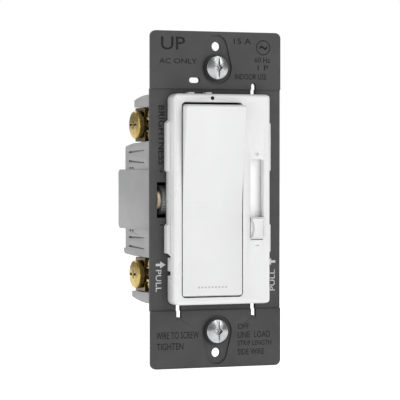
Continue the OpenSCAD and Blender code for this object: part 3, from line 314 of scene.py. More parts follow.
# Every finish starts from this one: depth, round, lineDepth and reach are in millimetres
plainFinish = {"tone": (0.5, 0.5, 0.5), "shade": None, "metal": 0.0, "rough": (0.35, 0.45),
    "driftScale": 90.0, "grain": 3000.0, "depth": 0.02, "cloud": 160.0, "round": 0.12, "worn": None,
    "wear": 0.0, "lines": None, "lineDepth": 0.0, "coat": 0.0, "coatRough": 0.1, "specular": 0.5,
    "clear": 0.0, "bend": 1.5, "paintedShade": None, "reach": 2.0, "paintedHoleShade": None}
# In each finish, the colour laid into hollows and gaps is painted shade, and so is the strap's near-black
# colour for hole walls
finishes = {
    "strap_enamel": {"tone": (0.062, 0.062, 0.063), "shade": (0.071, 0.071, 0.072), "rough": (0.5, 0.62),
        "grain": 2600.0, "depth": 0.035, "round": 0.18, "worn": (0.2, 0.2, 0.2), "wear": 0.3,
        "specular": 0.14, "paintedShade": (0.012, 0.012, 0.012), "reach": 0.9, "paintedHoleShade": (0.008, 0.008, 0.008)},
    "housing_plastic": {"tone": (0.315, 0.316, 0.316), "shade": (0.295, 0.296, 0.296),
        "rough": (0.5, 0.62), "grain": 2200.0, "depth": 0.05, "round": 0.2, "worn": (0.46, 0.46, 0.465),
        "wear": 0.4, "specular": 0.4, "paintedShade": (0.16, 0.162, 0.165), "reach": 1.6},
    "cover_plastic": {"tone": (0.72, 0.721, 0.723), "shade": (0.705, 0.706, 0.708), "rough": (0.26, 0.34),
        "grain": 1800.0, "depth": 0.006, "round": 0.15, "specular": 0.5, "paintedShade": (0.07, 0.07, 0.07),
        "reach": 0.8},
    "control_plastic": {"tone": (0.7, 0.701, 0.703), "shade": (0.685, 0.686, 0.688),
        "rough": (0.28, 0.36), "grain": 1800.0, "depth": 0.006, "round": 0.12, "specular": 0.5,
        "paintedShade": (0.06, 0.06, 0.06), "reach": 0.8},
    "inner_plastic": {"tone": (0.71, 0.69, 0.63), "shade": (0.66, 0.64, 0.57), "rough": (0.5, 0.6),
        "depth": 0.03},
    "black_plastic": {"tone": (0.012, 0.012, 0.013), "shade": (0.02, 0.02, 0.021), "rough": (0.45, 0.6),
        "depth": 0.04, "worn": (0.06, 0.06, 0.06), "wear": 0.4},
    "insulator_paper": {"tone": (0.02, 0.02, 0.022), "shade": (0.032, 0.032, 0.034), "rough": (0.7, 0.85),
        "grain": 900.0, "depth": 0.15, "lines": (1.0, 1.0, 0.12), "lineDepth": 0.08},
    "board_laminate": {"tone": (0.035, 0.13, 0.055), "shade": (0.05, 0.17, 0.07), "rough": (0.28, 0.4),
        "grain": 1400.0, "depth": 0.02, "lines": (1.0, 1.0, 0.5), "lineDepth": 0.03},
    "terminal_brass": {"tone": (0.54, 0.4, 0.13), "shade": (0.36, 0.25, 0.07), "metal": 1.0,
        "rough": (0.2, 0.34), "grain": 2400.0, "depth": 0.02, "cloud": 420.0, "round": 0.2,
        "worn": (0.7, 0.6, 0.36), "wear": 0.5, "paintedShade": (0.02, 0.014, 0.004), "reach": 2.4},
    "contact_bronze": {"tone": (0.5, 0.3, 0.13), "shade": (0.4, 0.23, 0.1), "metal": 1.0,
        "rough": (0.25, 0.4), "lines": (1.0, 1.0, 0.06), "lineDepth": 0.02},
    "contact_silver": {"tone": (0.75, 0.76, 0.77), "shade": (0.6, 0.6, 0.6), "metal": 1.0,
        "rough": (0.2, 0.32)},
    "zinc_steel": {"tone": (0.5, 0.505, 0.51), "shade": (0.36, 0.365, 0.37), "metal": 1.0,
        "rough": (0.2, 0.32), "grain": 2600.0, "depth": 0.02, "cloud": 500.0, "round": 0.1,
        "worn": (0.85, 0.85, 0.86), "wear": 0.5, "paintedShade": (0.01, 0.01, 0.01), "reach": 0.45},
    "plated_steel": {"tone": (0.36, 0.37, 0.39), "shade": (0.28, 0.29, 0.31), "metal": 1.0,
        "rough": (0.28, 0.42), "lines": (1.0, 1.0, 0.05), "lineDepth": 0.03},
    "black_screw": {"tone": (0.02, 0.02, 0.022), "shade": (0.04, 0.04, 0.042), "metal": 0.6,
        "rough": (0.35, 0.5), "worn": (0.2, 0.19, 0.18), "wear": 0.6},
    "green_screw": {"tone": (0.03, 0.17, 0.06), "shade": (0.05, 0.23, 0.09), "metal": 0.75,
        "rough": (0.25, 0.4), "worn": (0.5, 0.52, 0.5), "wear": 0.5},
    "copper_wire": {"tone": (0.55, 0.2, 0.07), "shade": (0.42, 0.13, 0.04), "metal": 0.9,
        "rough": (0.22, 0.35), "coat": 0.4},
    "ferrite": {"tone": (0.035, 0.037, 0.04), "shade": (0.05, 0.052, 0.056), "rough": (0.6, 0.75),
        "grain": 1500.0, "depth": 0.12},
    "capacitor_resin": {"tone": (0.42, 0.055, 0.03), "shade": (0.36, 0.04, 0.022), "rough": (0.15, 0.28),
        "coat": 0.5, "grain": 500.0},
    "capacitor_yellow": {"tone": (0.55, 0.27, 0.03), "shade": (0.48, 0.22, 0.02), "rough": (0.15, 0.28),
        "coat": 0.5, "grain": 500.0},
    "diode_glass": {"tone": (0.05, 0.12, 0.36), "shade": (0.04, 0.09, 0.28), "rough": (0.06, 0.14),
        "coat": 1.0},
    "resistor_coat": {"tone": (0.55, 0.38, 0.19), "shade": (0.5, 0.34, 0.16), "rough": (0.3, 0.42),
        "coat": 0.3},
    "track_laminate": {"tone": (0.14, 0.07, 0.025), "shade": (0.1, 0.05, 0.02), "rough": (0.4, 0.55),
        "lines": (1.0, 1.0, 0.1), "lineDepth": 0.05},
    "trimmer_plastic": {"tone": (0.03, 0.11, 0.32), "shade": (0.025, 0.09, 0.27), "rough": (0.25, 0.38),
        "depth": 0.02},
    "lamp_resin": {"tone": (0.95, 0.96, 0.96), "shade": (0.9, 0.92, 0.92), "rough": (0.04, 0.1),
        "clear": 0.85, "bend": 1.5},
    "lens_resin": {"tone": (0.003, 0.003, 0.003), "shade": (0.006, 0.006, 0.006), "rough": (0.2, 0.3),
        "specular": 0.12},
    "wheel_plastic": {"tone": (0.36, 0.362, 0.365), "shade": (0.3, 0.302, 0.305), "rough": (0.4, 0.55),
        "depth": 0.04, "worn": (0.35, 0.35, 0.35), "wear": 0.5},
    "wheel_disc_metal": {"tone": (0.42, 0.35, 0.24), "shade": (0.34, 0.28, 0.18), "metal": 1.0,
        "rough": (0.3, 0.42), "grain": 2400.0, "depth": 0.008, "cloud": 420.0},
}


def colourMix(tree, mask, first, second):
    mix = tree.nodes.new("ShaderNodeMix")
    mix.data_type = "RGBA"
    tree.links.new(mask, mix.inputs["Factor"])
    for socket, value in ((mix.inputs[6], first), (mix.inputs[7], second)):
        if isinstance(value, tuple):
            socket.default_value = (*value, 1.0)
        else:
            tree.links.new(value, socket)
    return mix.outputs[2]


def groupNode(tree, group, place, **values):
    node = tree.nodes.new("ShaderNodeGroup")
    node.node_tree = group
    tree.links.new(place, node.inputs["Vector"])
    for key, value in values.items():
        node.inputs[key.replace("_", " ")].default_value = value
    return node


def makeFinish(name, choices):
    look = {**plainFinish, **choices}
    material = bpy.data.materials.new(name)
    material.use_nodes = True
    tree = material.node_tree
    shader = tree.nodes["Principled BSDF"]
    place = tree.nodes.new("ShaderNodeTexCoord").outputs["Object"]
    grain = groupNode(tree, mouldGrain, place, Scale=look["grain"], Cloud_Scale=look["cloud"])
    edges = groupNode(tree, edgeWear, place, Width=look["round"] * mm)
    drift = groupNode(tree, roughDrift, place, Low=look["rough"][0], High=look["rough"][1],
        Scale=look["driftScale"])
    colour = colourMix(tree, grain.outputs["Cloud"], look["tone"], look["shade"] or look["tone"])
    bump = tree.nodes.new("ShaderNodeBump")
    bump.inputs["Strength"].default_value = 1.0
    bump.inputs["Distance"].default_value = look["depth"] * mm
    tree.links.new(grain.outputs["Height"], bump.inputs["Height"])
    tree.links.new(edges.outputs["Normal"], bump.inputs["Normal"])
    if look["lines"]:
        lines = groupNode(tree, toolLines, place, Across=look["lines"])
        ribs = tree.nodes.new("ShaderNodeBump")
        ribs.inputs["Distance"].default_value = look["lineDepth"] * mm
        tree.links.new(lines.outputs["Height"], ribs.inputs["Height"])
        tree.links.new(bump.outputs["Normal"], ribs.inputs["Normal"])
        bump = ribs
    # Painted shade in hollows and gaps, in the dark colour each finish gives
    if look["paintedShade"]:
        paintedShadeNode = groupNode(tree, paintedShadeGroup, place, Reach=look["reach"] * mm)
        colour = colourMix(tree, paintedShadeNode.outputs["Mask"], colour, look["paintedShade"])
    # Painted shade: the walls of the strap's holes are coloured near-black
    if look["paintedHoleShade"]:
        holeWallShadeNode = groupNode(tree, holeWallShadeGroup, place, Half_Width=(strapHigh.x - punchedInset * mm),
            Half_Height=(strapHigh.z - punchedInset * mm))
        colour = colourMix(tree, holeWallShadeNode.outputs["Mask"], colour, look["paintedHoleShade"])
    if look["worn"]:
        colour = colourMix(tree, mathNode(tree, "MULTIPLY", edges.outputs["Mask"], look["wear"]), colour,
            look["worn"])
    tree.links.new(colour, shader.inputs["Base Color"])
    tree.links.new(drift.outputs["Roughness"], shader.inputs["Roughness"])
    tree.links.new(bump.outputs["Normal"], shader.inputs["Normal"])
    shader.inputs["Metallic"].default_value = look["metal"]
    shader.inputs["Coat Weight"].default_value = look["coat"]
    shader.inputs["Coat Roughness"].default_value = look["coatRough"]
    shader.inputs["Specular IOR Level"].default_value = look["specular"]
    shader.inputs["Transmission Weight"].default_value = look["clear"]
    shader.inputs["IOR"].default_value = look["bend"]
    return material


materials = {name: makeFinish(name, choices) for name, choices in finishes.items()}
print("finishes made", len(materials))


def linkPiece(mesh, name, body, slot, *nodes):
    piece = bpy.data.objects.new(name, mesh)
    scene.collection.objects.link(piece)
    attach(piece, body)
    if nodes:
        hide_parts(*nodes)
    return piece


def plainMesh(holder):
    depsgraph = bpy.context.evaluated_depsgraph_get()
    depsgraph.update()
    return bpy.data.meshes.new_from_object(holder.evaluated_get(depsgraph))


# Corners closer than this, in millimetres, are joined
weldReach = 0.002


def cleanCopy(node):
    mesh = frame["nodes"][node].data.copy()
    shape = bmesh.new()
    shape.from_mesh(mesh)
    bmesh.ops.remove_doubles(shape, verts=shape.verts, dist=weldReach * mm)
    for face in shape.faces:
        face.smooth = True
    shape.to_mesh(mesh)
    shape.free()
    mesh.materials.clear()
    mesh.materials.append(materials[slotOf[node]])
    return mesh


def addBevel(holder, width, segments, angle):
    bevel = holder.modifiers.new("round", "BEVEL")
    bevel.width = width
    bevel.segments = segments
    bevel.limit_method = "ANGLE"
    bevel.angle_limit = math.radians(angle)
    bevel.harden_normals = True
    bevel.miter_outer = "MITER_ARC"


def roundedPiece(node, radius, segments=2, angle=32):
    mesh = cleanCopy(node)
    holder = bpy.data.objects.new("holder", mesh)
    scene.collection.objects.link(holder)
    addBevel(holder, radius * mm, segments, angle)
    done = plainMesh(holder)
    bpy.data.objects.remove(holder)
    done.name = node + "Rounded"
    return linkPiece(done, node + "Rounded", bodyOf[node], slotOf[node], node)


roundings = {"mounting_strap": 0.12, "rear_housing": 0.15, "cover_frame": 0.12, "rocker_paddle": 0.3,
    "slider_knob": 0.12}
for node, radius in roundings.items():
    piece = roundedPiece(node, radius)
    print("rounded", node, len(piece.data.polygons))


# Turned and cut pieces are drawn in millimetres about their own axis, then moved with placing
def lathe(outline, sides):
    shape = bmesh.new()
    rings = []
    for radius, height in outline:
        spread = range(sides if radius else 1)
        turns = [math.tau * k / sides for k in spread]
        rings.append([shape.verts.new((radius * math.cos(a), radius * math.sin(a), height)) for a in turns])
    for near, far in zip(rings, rings[1:]):
        for k in range(sides):
            corners = [near[k % len(near)], near[(k + 1) % len(near)], far[(k + 1) % len(far)],
                far[k % len(far)]]
            shape.faces.new(list(dict.fromkeys(corners)))
    bmesh.ops.recalc_face_normals(shape, faces=shape.faces)
    return shape


def prism(outline, low, high, narrow=1.0):
    return loft([(outline, low, narrow), (outline, high, 1.0)])


def loft(levels):
    shape = bmesh.new()
    rings = [[shape.verts.new((x * size, y * size, height)) for x, y in outline]
        for outline, height, size in levels]
    for near, far in zip(rings, rings[1:]):
        for k in range(len(near)):
            n = (k + 1) % len(near)
            shape.faces.new([near[k], near[n], far[n], far[k]])
    shape.faces.new(rings[0])
    shape.faces.new(rings[-1])
    bmesh.ops.recalc_face_normals(shape, faces=shape.faces)
    return shape


def ringOutline(radius, sides, start=0.0):
    turns = [start + math.tau * k / sides for k in range(sides)]
    return [(radius * math.cos(turn), radius * math.sin(turn)) for turn in turns]


def boxOutline(halfX, halfY):
    return [(-halfX, -halfY), (halfX, -halfY), (halfX, halfY), (-halfX, halfY)]


def crossOutline(arm, half):
    corner = [(half, half), (half, arm), (-half, arm)]
    quarters = ((1, 0), (0, 1), (-1, 0), (0, -1))
    return [(x * c - y * s, x * s + y * c) for c, s in quarters for x, y in corner]


# A temporary object for a drawing, and the same as a bare mesh
def holderOf(shape):
    mesh = bpy.data.meshes.new("draft")
    shape.to_mesh(mesh)
    shape.free()
    holder = bpy.data.objects.new("draft", mesh)
    scene.collection.objects.link(holder)
    return holder


def meshOf(shape):
    holder = holderOf(shape)
    mesh = holder.data
    bpy.data.objects.remove(holder)
    return mesh


def carved(shape, cutters, rounding, angle=28):
    holder = holderOf(shape)
    tools = [holderOf(cutter) for cutter in cutters]
    for tool in tools:
        cut = holder.modifiers.new("cut", "BOOLEAN")
        cut.operation = "DIFFERENCE"
        cut.solver = "EXACT"
        cut.object = tool
    addBevel(holder, rounding, 2, angle)
    done = plainMesh(holder)
    for spare in [holder, *tools]:
        bpy.data.objects.remove(spare)
    return done


# Where a drawing goes: start is its origin in metres, and its axes go along right, up and outward
def placing(start, right, up, outward):
    turn = Matrix((right, up, outward)).transposed().to_4x4()
    return Matrix.Translation(Vector(start)) @ turn @ Matrix.Scale(mm, 4)


def joinMeshes(name, meshes, material):
    shape = bmesh.new()
    for mesh in meshes:
        shape.from_mesh(mesh)
    for face in shape.faces:
        face.material_index = 0
    done = bpy.data.meshes.new(name)
    shape.to_mesh(done)
    shape.free()
    done.materials.append(material)
    return done


# Geometry nodes: a core with a ridge wound round it, for the screws' threads
# margin and start are in turns of the ridge
coilLook = {"sides": 36, "steps": 28, "ridgeSides": 6, "margin": 1.2, "start": 0.6}


def makeCoilTree():
    tree = bpy.data.node_groups.new("coilTree", "GeometryNodeTree")
    for label, value in (("Core", 1.4), ("Ridge", 0.28), ("Pitch", 0.8), ("Length", 10.0)):
        tree.interface.new_socket(label, in_out="INPUT", socket_type="NodeSocketFloat").default_value = value
    tree.interface.new_socket("Material", in_out="INPUT", socket_type="NodeSocketMaterial")
    tree.interface.new_socket("Geometry", in_out="OUTPUT", socket_type="NodeSocketGeometry")
    entry = tree.nodes.new("NodeGroupInput")
    leave = tree.nodes.new("NodeGroupOutput")
    core = addNode(tree, "GeometryNodeMeshCylinder", {"fill_type": "NGON"}, Vertices=coilLook["sides"])
    tree.links.new(entry.outputs["Core"], core.inputs["Radius"])
    tree.links.new(entry.outputs["Length"], core.inputs["Depth"])
    lift = tree.nodes.new("ShaderNodeCombineXYZ")
    tree.links.new(mathNode(tree, "MULTIPLY", entry.outputs["Length"], 0.5), lift.inputs["Z"])
    raised = tree.nodes.new("GeometryNodeTransform")
    tree.links.new(core.outputs["Mesh"], raised.inputs["Geometry"])
    tree.links.new(lift.outputs[0], raised.inputs["Translation"])
    run = mathNode(tree, "SUBTRACT", entry.outputs["Length"],
        mathNode(tree, "MULTIPLY", entry.outputs["Pitch"], coilLook["margin"]))
    spiral = addNode(tree, "GeometryNodeCurveSpiral", Resolution=coilLook["steps"])
    tree.links.new(mathNode(tree, "DIVIDE", run, entry.outputs["Pitch"]), spiral.inputs["Rotations"])
    tree.links.new(entry.outputs["Core"], spiral.inputs["Start Radius"])
    tree.links.new(entry.outputs["Core"], spiral.inputs["End Radius"])
    tree.links.new(run, spiral.inputs["Height"])
    section = addNode(tree, "GeometryNodeCurvePrimitiveCircle", Resolution=coilLook["ridgeSides"])
    tree.links.new(entry.outputs["Ridge"], section.inputs["Radius"])
    ridge = addNode(tree, "GeometryNodeCurveToMesh", Fill_Caps=True)
    tree.links.new(spiral.outputs["Curve"], ridge.inputs["Curve"])
    tree.links.new(section.outputs["Curve"], ridge.inputs["Profile Curve"])
    start = tree.nodes.new("ShaderNodeCombineXYZ")
    tree.links.new(mathNode(tree, "MULTIPLY", entry.outputs["Pitch"], coilLook["start"]), start.inputs["Z"])
    wound = tree.nodes.new("GeometryNodeTransform")
    tree.links.new(ridge.outputs["Mesh"], wound.inputs["Geometry"])
    tree.links.new(start.outputs[0], wound.inputs["Translation"])
    both = tree.nodes.new("GeometryNodeJoinGeometry")
    tree.links.new(raised.outputs["Geometry"], both.inputs["Geometry"])
    tree.links.new(wound.outputs["Geometry"], both.inputs["Geometry"])
    finishTree(tree, both.outputs["Geometry"], entry, leave)
    return tree


def finishTree(tree, geometry, entry, leave):
    real = tree.nodes.new("GeometryNodeRealizeInstances")
    paint = tree.nodes.new("GeometryNodeSetMaterial")
    tree.links.new(geometry, real.inputs["Geometry"])
    tree.links.new(real.outputs["Geometry"], paint.inputs["Geometry"])
    tree.links.new(entry.outputs["Material"], paint.inputs["Material"])
    tree.links.new(paint.outputs["Geometry"], leave.inputs["Geometry"])


def grown(tree, material, start=None, **values):
    mesh = start or bpy.data.meshes.new("seed")
    holder = bpy.data.objects.new("seed", mesh)
    scene.collection.objects.link(holder)
    grow = holder.modifiers.new("grow", "NODES")
    grow.node_group = tree
    for item in tree.interface.items_tree:
        if item.in_out == "INPUT" and item.name in values:
            grow[item.identifier] = values[item.name]
        if item.in_out == "INPUT" and item.name == "Material":
            grow[item.identifier] = material
    done = plainMesh(holder)
    bpy.data.objects.remove(holder)
    return done


coilTree = makeCoilTree()
screwDriver = {"slotHalf": 0.42, "slotArm": 3.1, "slotDepth": 0.55, "slotAbove": 1, "arm": 1.55,
    "half": 0.42, "depth": 1.15, "crossAbove": 0.4, "narrow": 0.55}
terminalHead = {"edge": 0.55, "crown": 0.3, "chamfer": 0.25, "round": 0.1, "sides": 72, "seatGap": 0.1,
    "bendStep": 12, "bendPoints": 8, "crownSteps": (0.8, 0.6, 0.4, 0.2), "core": 1.62, "ridge": 0.32,
    "pitch": 0.79, "overlap": 0.3}
# Hexagonal head: height from each end and the width there, as a share of the full width
hexHead = {"foot": 0.2, "footWidth": 0.97, "top": 0.35, "topWidth": 0.9}


def panOutline(radius, height, look):
    edge, crown, chamfer = look["edge"], look["crown"], look["chamfer"]
    bend = [(radius - edge + edge * math.cos(a), height - crown - edge + edge * math.sin(a))
        for a in (math.radians(look["bendStep"] * k) for k in range(look["bendPoints"]))]
    steps = [(x * (radius - edge), height - crown * x * x) for x in look["crownSteps"]]
    return [(0, 0), (radius - chamfer, 0), (radius, chamfer), *bend, *steps, (0, height)]


def driverCuts(top, look):
    slotCut = prism(boxOutline(look["slotHalf"], look["slotArm"]), top - look["slotDepth"],
        top + look["slotAbove"])
    crossCut = prism(crossOutline(look["arm"], look["half"]), top - look["depth"], top + look["crossAbove"],
        look["narrow"])
    return [slotCut, crossCut]


def terminalScrew(side, seatNode, left):
    node = "terminal_screw_" + side if side != "ground" else "ground_screw"
    low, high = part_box(node)
    seatLow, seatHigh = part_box(seatNode)
    out = -1 if left else 1
    face = low.x if left else high.x
    seat = (seatLow.x if left else seatHigh.x) + out * terminalHead["seatGap"] * mm
    tip = high.x if left else low.x
    radius = (high.y - low.y) / 2 / mm
    height = abs(face - seat) / mm
    look = terminalHead
    if side == "ground":
        radius = (high.z - low.z) / 2 / mm
        flats = ringOutline(radius, 6, math.pi / 2)
        body = loft([(flats, 0, hexHead["footWidth"]), (flats, hexHead["foot"], 1),
            (flats, height - hexHead["top"], 1), (flats, height, hexHead["topWidth"])])
    else:
        body = lathe(panOutline(radius, height, look), look["sides"])
    head = carved(body, driverCuts(height, screwDriver), look["round"])
    turn = ((0, 0, 1), (0, -out, 0), (out, 0, 0))
    middle = ((low.y + high.y) / 2, (low.z + high.z) / 2)
    head.transform(placing((seat, *middle), *turn))
    slot = slotOf[node]
    shank = grown(coilTree, materials[slot], Core=look["core"], Ridge=look["ridge"], Pitch=look["pitch"],
        Length=abs(tip - seat) / mm + look["overlap"])
    shank.transform(placing((tip, *middle), *turn))
    done = joinMeshes(node + "Turned", [head, shank], materials[slot])
    return linkPiece(done, node + "Turned", bodyOf[node], slot, node)


terminals = [("upper_left", "clamp_plate_upper_left", True), ("lower_left", "clamp_plate_lower_left", True),
    ("upper_right", "clamp_plate_upper_right", False), ("ground", "ground_washer", False)]
for side, seatNode, left in terminals:
    piece = terminalScrew(side, seatNode, left)
    print("turned", piece.name, len(piece.data.polygons))


boxHead = {"rim": 0.75, "sides": 72, "round": 0.05, "chamfer": 0.15, "domePower": 2.2,
    "domeSteps": (1, 0.94, 0.87, 0.79, 0.7, 0.6, 0.5, 0.4, 0.3, 0.2, 0.1), "slotHalf": 0.58,
    "slotDepth": 0.85, "slotBeyond": 1, "diamond": 1.75, "diamondDepth": 0.8, "diamondTip": 0.25,
    "diamondAbove": 0.4, "diamondNarrow": 0.62, "arm": 0.72, "half": 0.34, "depth": 1.6, "narrow": 0.8}
boxStem = {"core": 1.36, "ridge": 0.36, "pitch": 0.79, "neck": 1.45, "neckLength": 1.6, "flare": 0.3,
    "plain": 1.5, "tip": 1.2, "tipWidth": 0.6, "overlap": 0.1, "sides": 36}


def boxScrew(node):
    low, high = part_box(node)
    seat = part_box("screw_washers")[0].y
    radius = (high.x - low.x) / 2 / mm
    height = (seat - low.y) / mm
    look = boxHead
    rise = height - look["rim"]
    dome = [(radius * x, look["rim"] + rise * (1 - x ** look["domePower"])) for x in look["domeSteps"]]
    chamfer, beyond = look["chamfer"], look["slotBeyond"]
    body = lathe([(0, 0), (radius - chamfer, 0), (radius, chamfer), *dome, (0, height)], look["sides"])
    slotCut = prism(boxOutline(look["slotHalf"], radius + beyond), height - look["slotDepth"],
        height + beyond)
    diamondFoot = height - look["diamondDepth"] - look["diamondTip"]
    diamondCut = prism(ringOutline(look["diamond"], 4), diamondFoot, height + look["diamondAbove"],
        look["diamondNarrow"])
    cross = crossOutline(look["arm"], look["half"])
    cuts = [slotCut, diamondCut, prism(cross, height - look["depth"], height, look["narrow"])]
    head = carved(body, cuts, look["round"])
    turn = ((1, 0, 0), (0, 0, 1), (0, -1, 0))
    middle = ((low.x + high.x) / 2, (low.z + high.z) / 2)
    head.transform(placing((middle[0], seat, middle[1]), *turn))
    length = (high.y - seat) / mm
    stemLook = boxStem
    core, neck, tip = stemLook["core"], stemLook["neck"], stemLook["tip"]
    shank = grown(coilTree, materials[slotOf[node]], Core=core, Ridge=stemLook["ridge"],
        Pitch=stemLook["pitch"], Length=length - tip - stemLook["plain"])
    shank.transform(placing((middle[0], high.y - tip * mm, middle[1]), *turn))
    neckStart, top = length - stemLook["neckLength"], length + stemLook["overlap"]
    outline = [(0, 0), (core * stemLook["tipWidth"], 0), (core, tip), (core, neckStart - stemLook["flare"]),
        (neck, neckStart), (neck, top), (0, top)]
    stem = meshOf(lathe(outline, stemLook["sides"]))
    stem.transform(placing((middle[0], high.y, middle[1]), *turn))
    done = joinMeshes(node + "Turned", [head, shank, stem], materials[slotOf[node]])
    return linkPiece(done, node + "Turned", bodyOf[node], slotOf[node], node)


for node in ("mounting_screw_top", "mounting_screw_bottom"):
    piece = boxScrew(node)
    print("turned", piece.name, len(piece.data.polygons))


# Printed marks: words are fitted to a rectangle of left, bottom, right, top in X and Z, in millimetres
inkLift = 0.015
ringMarkLook = {"x": 16.25, "z": 48.3, "halfX": 2.45, "halfZ": 2.4, "width": 0.3, "sides": 40}
weights = {"tab": 0.006, "side": 0.008, "white": 0.002}
darkMarks = [
    ("UP", -19.0, 47.1, -10.8, 51.2, 0),
    ("AC ONLY", -19.6, 42.8, -6.8, 44.4, 0),
    ("15 A", 6.0, 49.3, 12.0, 51.1, 0),
    ("~", 14.9, 47.6, 17.7, 49.0, 0),
    ("60 Hz", 13.3, 43.5, 18.7, 45.2, 0),
    ("1 P", 14.3, 41.0, 18.0, 42.7, 0),
    ("INDOOR USE", 6.3, 38.1, 17.4, 39.9, 0),
    ("WIRE TO SCREW", -20.7, -43.7, -6.1, -41.5, 0),
    ("TIGHTEN", -20.5, -47.1, -11.4, -45.0, 0),
    ("OFF", 7.4, -41.2, 11.3, -39.5, 0),
    ("LINE  LOAD", 7.4, -44.0, 18.8, -42.0, 0),
    ("STRIP LENGTH", 7.4, -46.5, 19.2, -44.9, 0),
    ("SIDE WIRE", 7.4, -49.4, 16.6, -47.5, 0),
]
wellMarks = [("BRIGHTNESS", -19.7, 11.0, -17.6, 29.6, -1), ("-", -19.2, -8.0, -18.0, -7.6, 0),
    ("+", -19.4, 8.4, -18.2, 9.6, 0)]
whiteMarks = [("PULL", -20.6, -28.8, -18.7, -21.9, -1), ("PULL", 18.9, -29.2, 20.6, -22.5, 1)]
whiteArrows = [(-17.2, -20.35, -1), (17.4, -19.95, 1)]
arrowLook = {"head": 1.9, "halfHead": 1.1, "stem": 1.5, "halfStem": 0.38}


def wordMesh(word, left, bottom, right, top, turn, weight):
    curve = bpy.data.curves.new("word", "FONT")
    curve.body = word
    curve.extrude = 0.01
    curve.offset = weight
    curve.resolution_u = 3
    holder = bpy.data.objects.new("word", curve)
    scene.collection.objects.link(holder)
    mesh = plainMesh(holder)
    bpy.data.objects.remove(holder)
    if turn:
        mesh.transform(Matrix.Rotation(turn * math.pi / 2, 4, "Z"))
    low = Vector([min(vertex.co[k] for vertex in mesh.vertices) for k in range(3)])
    high = Vector([max(vertex.co[k] for vertex in mesh.vertices) for k in range(3)])
    for vertex in mesh.vertices:
        x, y, z = vertex.co
        vertex.co = (left + (right - left) * (x - low.x) / (high.x - low.x),
            bottom + (top - bottom) * (y - low.y) / (high.y - low.y), inkLift if z > 0 else -inkLift)
    return mesh


def flatMark(outline):
    return meshOf(prism(outline, -inkLift, inkLift))


def arrowOutline(x, z, back):
    look = arrowLook
    neck, tail = x + back * look["head"], x + back * (look["head"] + look["stem"])
    upper = [(x, 0), (neck, look["halfHead"]), (neck, look["halfStem"]), (tail, look["halfStem"])]
    return [(a, z + b) for a, b in upper] + [(a, z - b) for a, b in reversed(upper[1:])]


def ringMark(look):
    shape = bmesh.new()
    sides, width = look["sides"], look["width"]
    rounds = []
    for inset, height in ((0, -inkLift), (0, inkLift), (width, inkLift), (width, -inkLift)):
        turns = [math.tau * k / sides for k in range(sides)]
        rounds.append([shape.verts.new((look["x"] + (look["halfX"] - inset) * math.cos(turn),
            look["z"] + (look["halfZ"] - inset) * math.sin(turn), height)) for turn in turns])
    for near, far in zip(rounds, rounds[1:] + rounds[:1]):
        for k in range(sides):
            n = (k + 1) % sides
            shape.faces.new([near[k], near[n], far[n], far[k]])
    bmesh.ops.recalc_face_normals(shape, faces=shape.faces)
    return meshOf(shape)


def printedPiece(name, plane, ink, meshes):
    done = joinMeshes(name, meshes, ink)
    done.transform(placing((0, plane, 0), (1, 0, 0), (0, 0, 1), (0, -1, 0)))
    return linkPiece(done, name, bodyOf["mounting_strap"], "strap_enamel")


inks = {
    "darkInk": {"tone": (0.012, 0.012, 0.012), "shade": (0.026, 0.026, 0.026), "rough": (0.6, 0.7),
        "specular": 0.08, "depth": 0.01, "cloud": 700.0},
    "whiteInk": {"tone": (0.62, 0.62, 0.62), "shade": (0.5, 0.5, 0.5), "rough": (0.5, 0.6),
        "depth": 0.01, "cloud": 700.0},
    "greyInk": {"tone": (0.4, 0.4, 0.4), "shade": (0.44, 0.44, 0.44), "rough": (0.35, 0.45),
        "depth": 0.005, "cloud": 700.0},
}
inkPaint = {name: makeFinish(name, choices) for name, choices in inks.items()}
# The strap's middle lies one step behind its two tabs
strapStep = 0.5
tabFace = strapLow.y
wellFace = tabFace + strapStep * mm
printedPiece("tabMarks", tabFace, inkPaint["darkInk"],
    [*(wordMesh(*mark, weights["tab"]) for mark in darkMarks), ringMark(ringMarkLook)])
printedPiece("sideMarks", wellFace, inkPaint["darkInk"],
    [wordMesh(*mark, weights["side"]) for mark in wellMarks])
printedPiece("pullMarks", wellFace, inkPaint["whiteInk"],
    [*(wordMesh(*mark, weights["white"]) for mark in whiteMarks),
    *(flatMark(arrowOutline(*arrow)) for arrow in whiteArrows)])
print("marks printed")


# A row of raised dots near the rocker's lower end, where the ray from in front meets its face
dotRow = {"count": 9, "step": 1.15, "height": -27.4, "size": 0.3, "proud": 0.02, "segments": 20, "rings": 10,
    "rayFrom": 10}


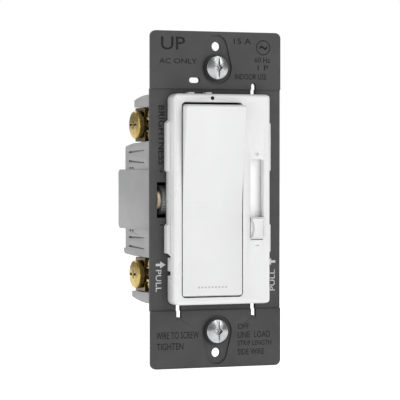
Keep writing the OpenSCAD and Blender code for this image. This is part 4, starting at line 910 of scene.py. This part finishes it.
def makeDotTree():
    tree = bpy.data.node_groups.new("dotTree", "GeometryNodeTree")
    tree.interface.new_socket("Geometry", in_out="INPUT", socket_type="NodeSocketGeometry")
    tree.interface.new_socket("Size", in_out="INPUT", socket_type="NodeSocketFloat")
    tree.interface.new_socket("Proud", in_out="INPUT", socket_type="NodeSocketFloat")
    tree.interface.new_socket("Material", in_out="INPUT", socket_type="NodeSocketMaterial")
    tree.interface.new_socket("Geometry", in_out="OUTPUT", socket_type="NodeSocketGeometry")
    entry = tree.nodes.new("NodeGroupInput")
    leave = tree.nodes.new("NodeGroupOutput")
    dot = addNode(tree, "GeometryNodeMeshUVSphere", Segments=dotRow["segments"],
        Rings=dotRow["rings"], Radius=1.0)
    size = tree.nodes.new("ShaderNodeCombineXYZ")
    for axis, source in (("X", "Size"), ("Y", "Proud"), ("Z", "Size")):
        tree.links.new(entry.outputs[source], size.inputs[axis])
    place = tree.nodes.new("GeometryNodeInstanceOnPoints")
    tree.links.new(entry.outputs["Geometry"], place.inputs["Points"])
    tree.links.new(dot.outputs["Mesh"], place.inputs["Instance"])
    tree.links.new(size.outputs[0], place.inputs["Scale"])
    finishTree(tree, place.outputs["Instances"], entry, leave)
    return tree


def makeDotRow(look):
    shape = bmesh.new()
    shape.from_mesh(frame["nodes"]["rocker_paddle"].data)
    surface = BVHTree.FromBMesh(shape)
    shape.free()
    middle = (rockerLow.x + rockerHigh.x) / 2
    spots = []
    front = rockerLow.y - look["rayFrom"] * mm
    for k in range(look["count"]):
        across = middle + (k - (look["count"] - 1) / 2) * look["step"] * mm
        start = Vector((across, front, look["height"] * mm))
        spots.append(surface.ray_cast(start, Vector((0, 1, 0)))[0])
    seed = bpy.data.meshes.new("dotSeed")
    seed.from_pydata(spots, [], [])
    done = grown(makeDotTree(), inkPaint["greyInk"], seed, Size=look["size"] * mm, Proud=look["proud"] * mm)
    done.name = "rockerDots"
    return linkPiece(done, "rockerDots", bodyOf["rocker_paddle"], slotOf["rocker_paddle"])


makeDotRow(dotRow)
print("dots placed")


for node, part in frame["nodes"].items():
    part.data.materials.clear()
    part.data.materials.append(materials[slotOf[node]])
# CAD parts that differ from the rest of their slot: the shutter is whiter, and the clamp plates get a darker
# copy of the brass as painted shade, with less wear
variants = {"slot_shutter": {"tone": (0.97, 0.97, 0.97), "shade": (0.94, 0.94, 0.94), "paintedShade": None}}
for node in frame["nodes"]:
    if node.startswith("clamp_plate"):
        # Painted shade: the clamp plates' brass is darkened where they sit between the screw heads and the
        # housing
        variants[node] = {"tone": (0.2, 0.14, 0.05), "shade": (0.11, 0.08, 0.03),
            "worn": (0.4, 0.31, 0.14), "wear": 0.25}
for node, change in variants.items():
    frame["nodes"][node].data.materials[0] = makeFinish(node + "Finish",
        {**finishes[slotOf[node]], **change})
print("finishes placed")
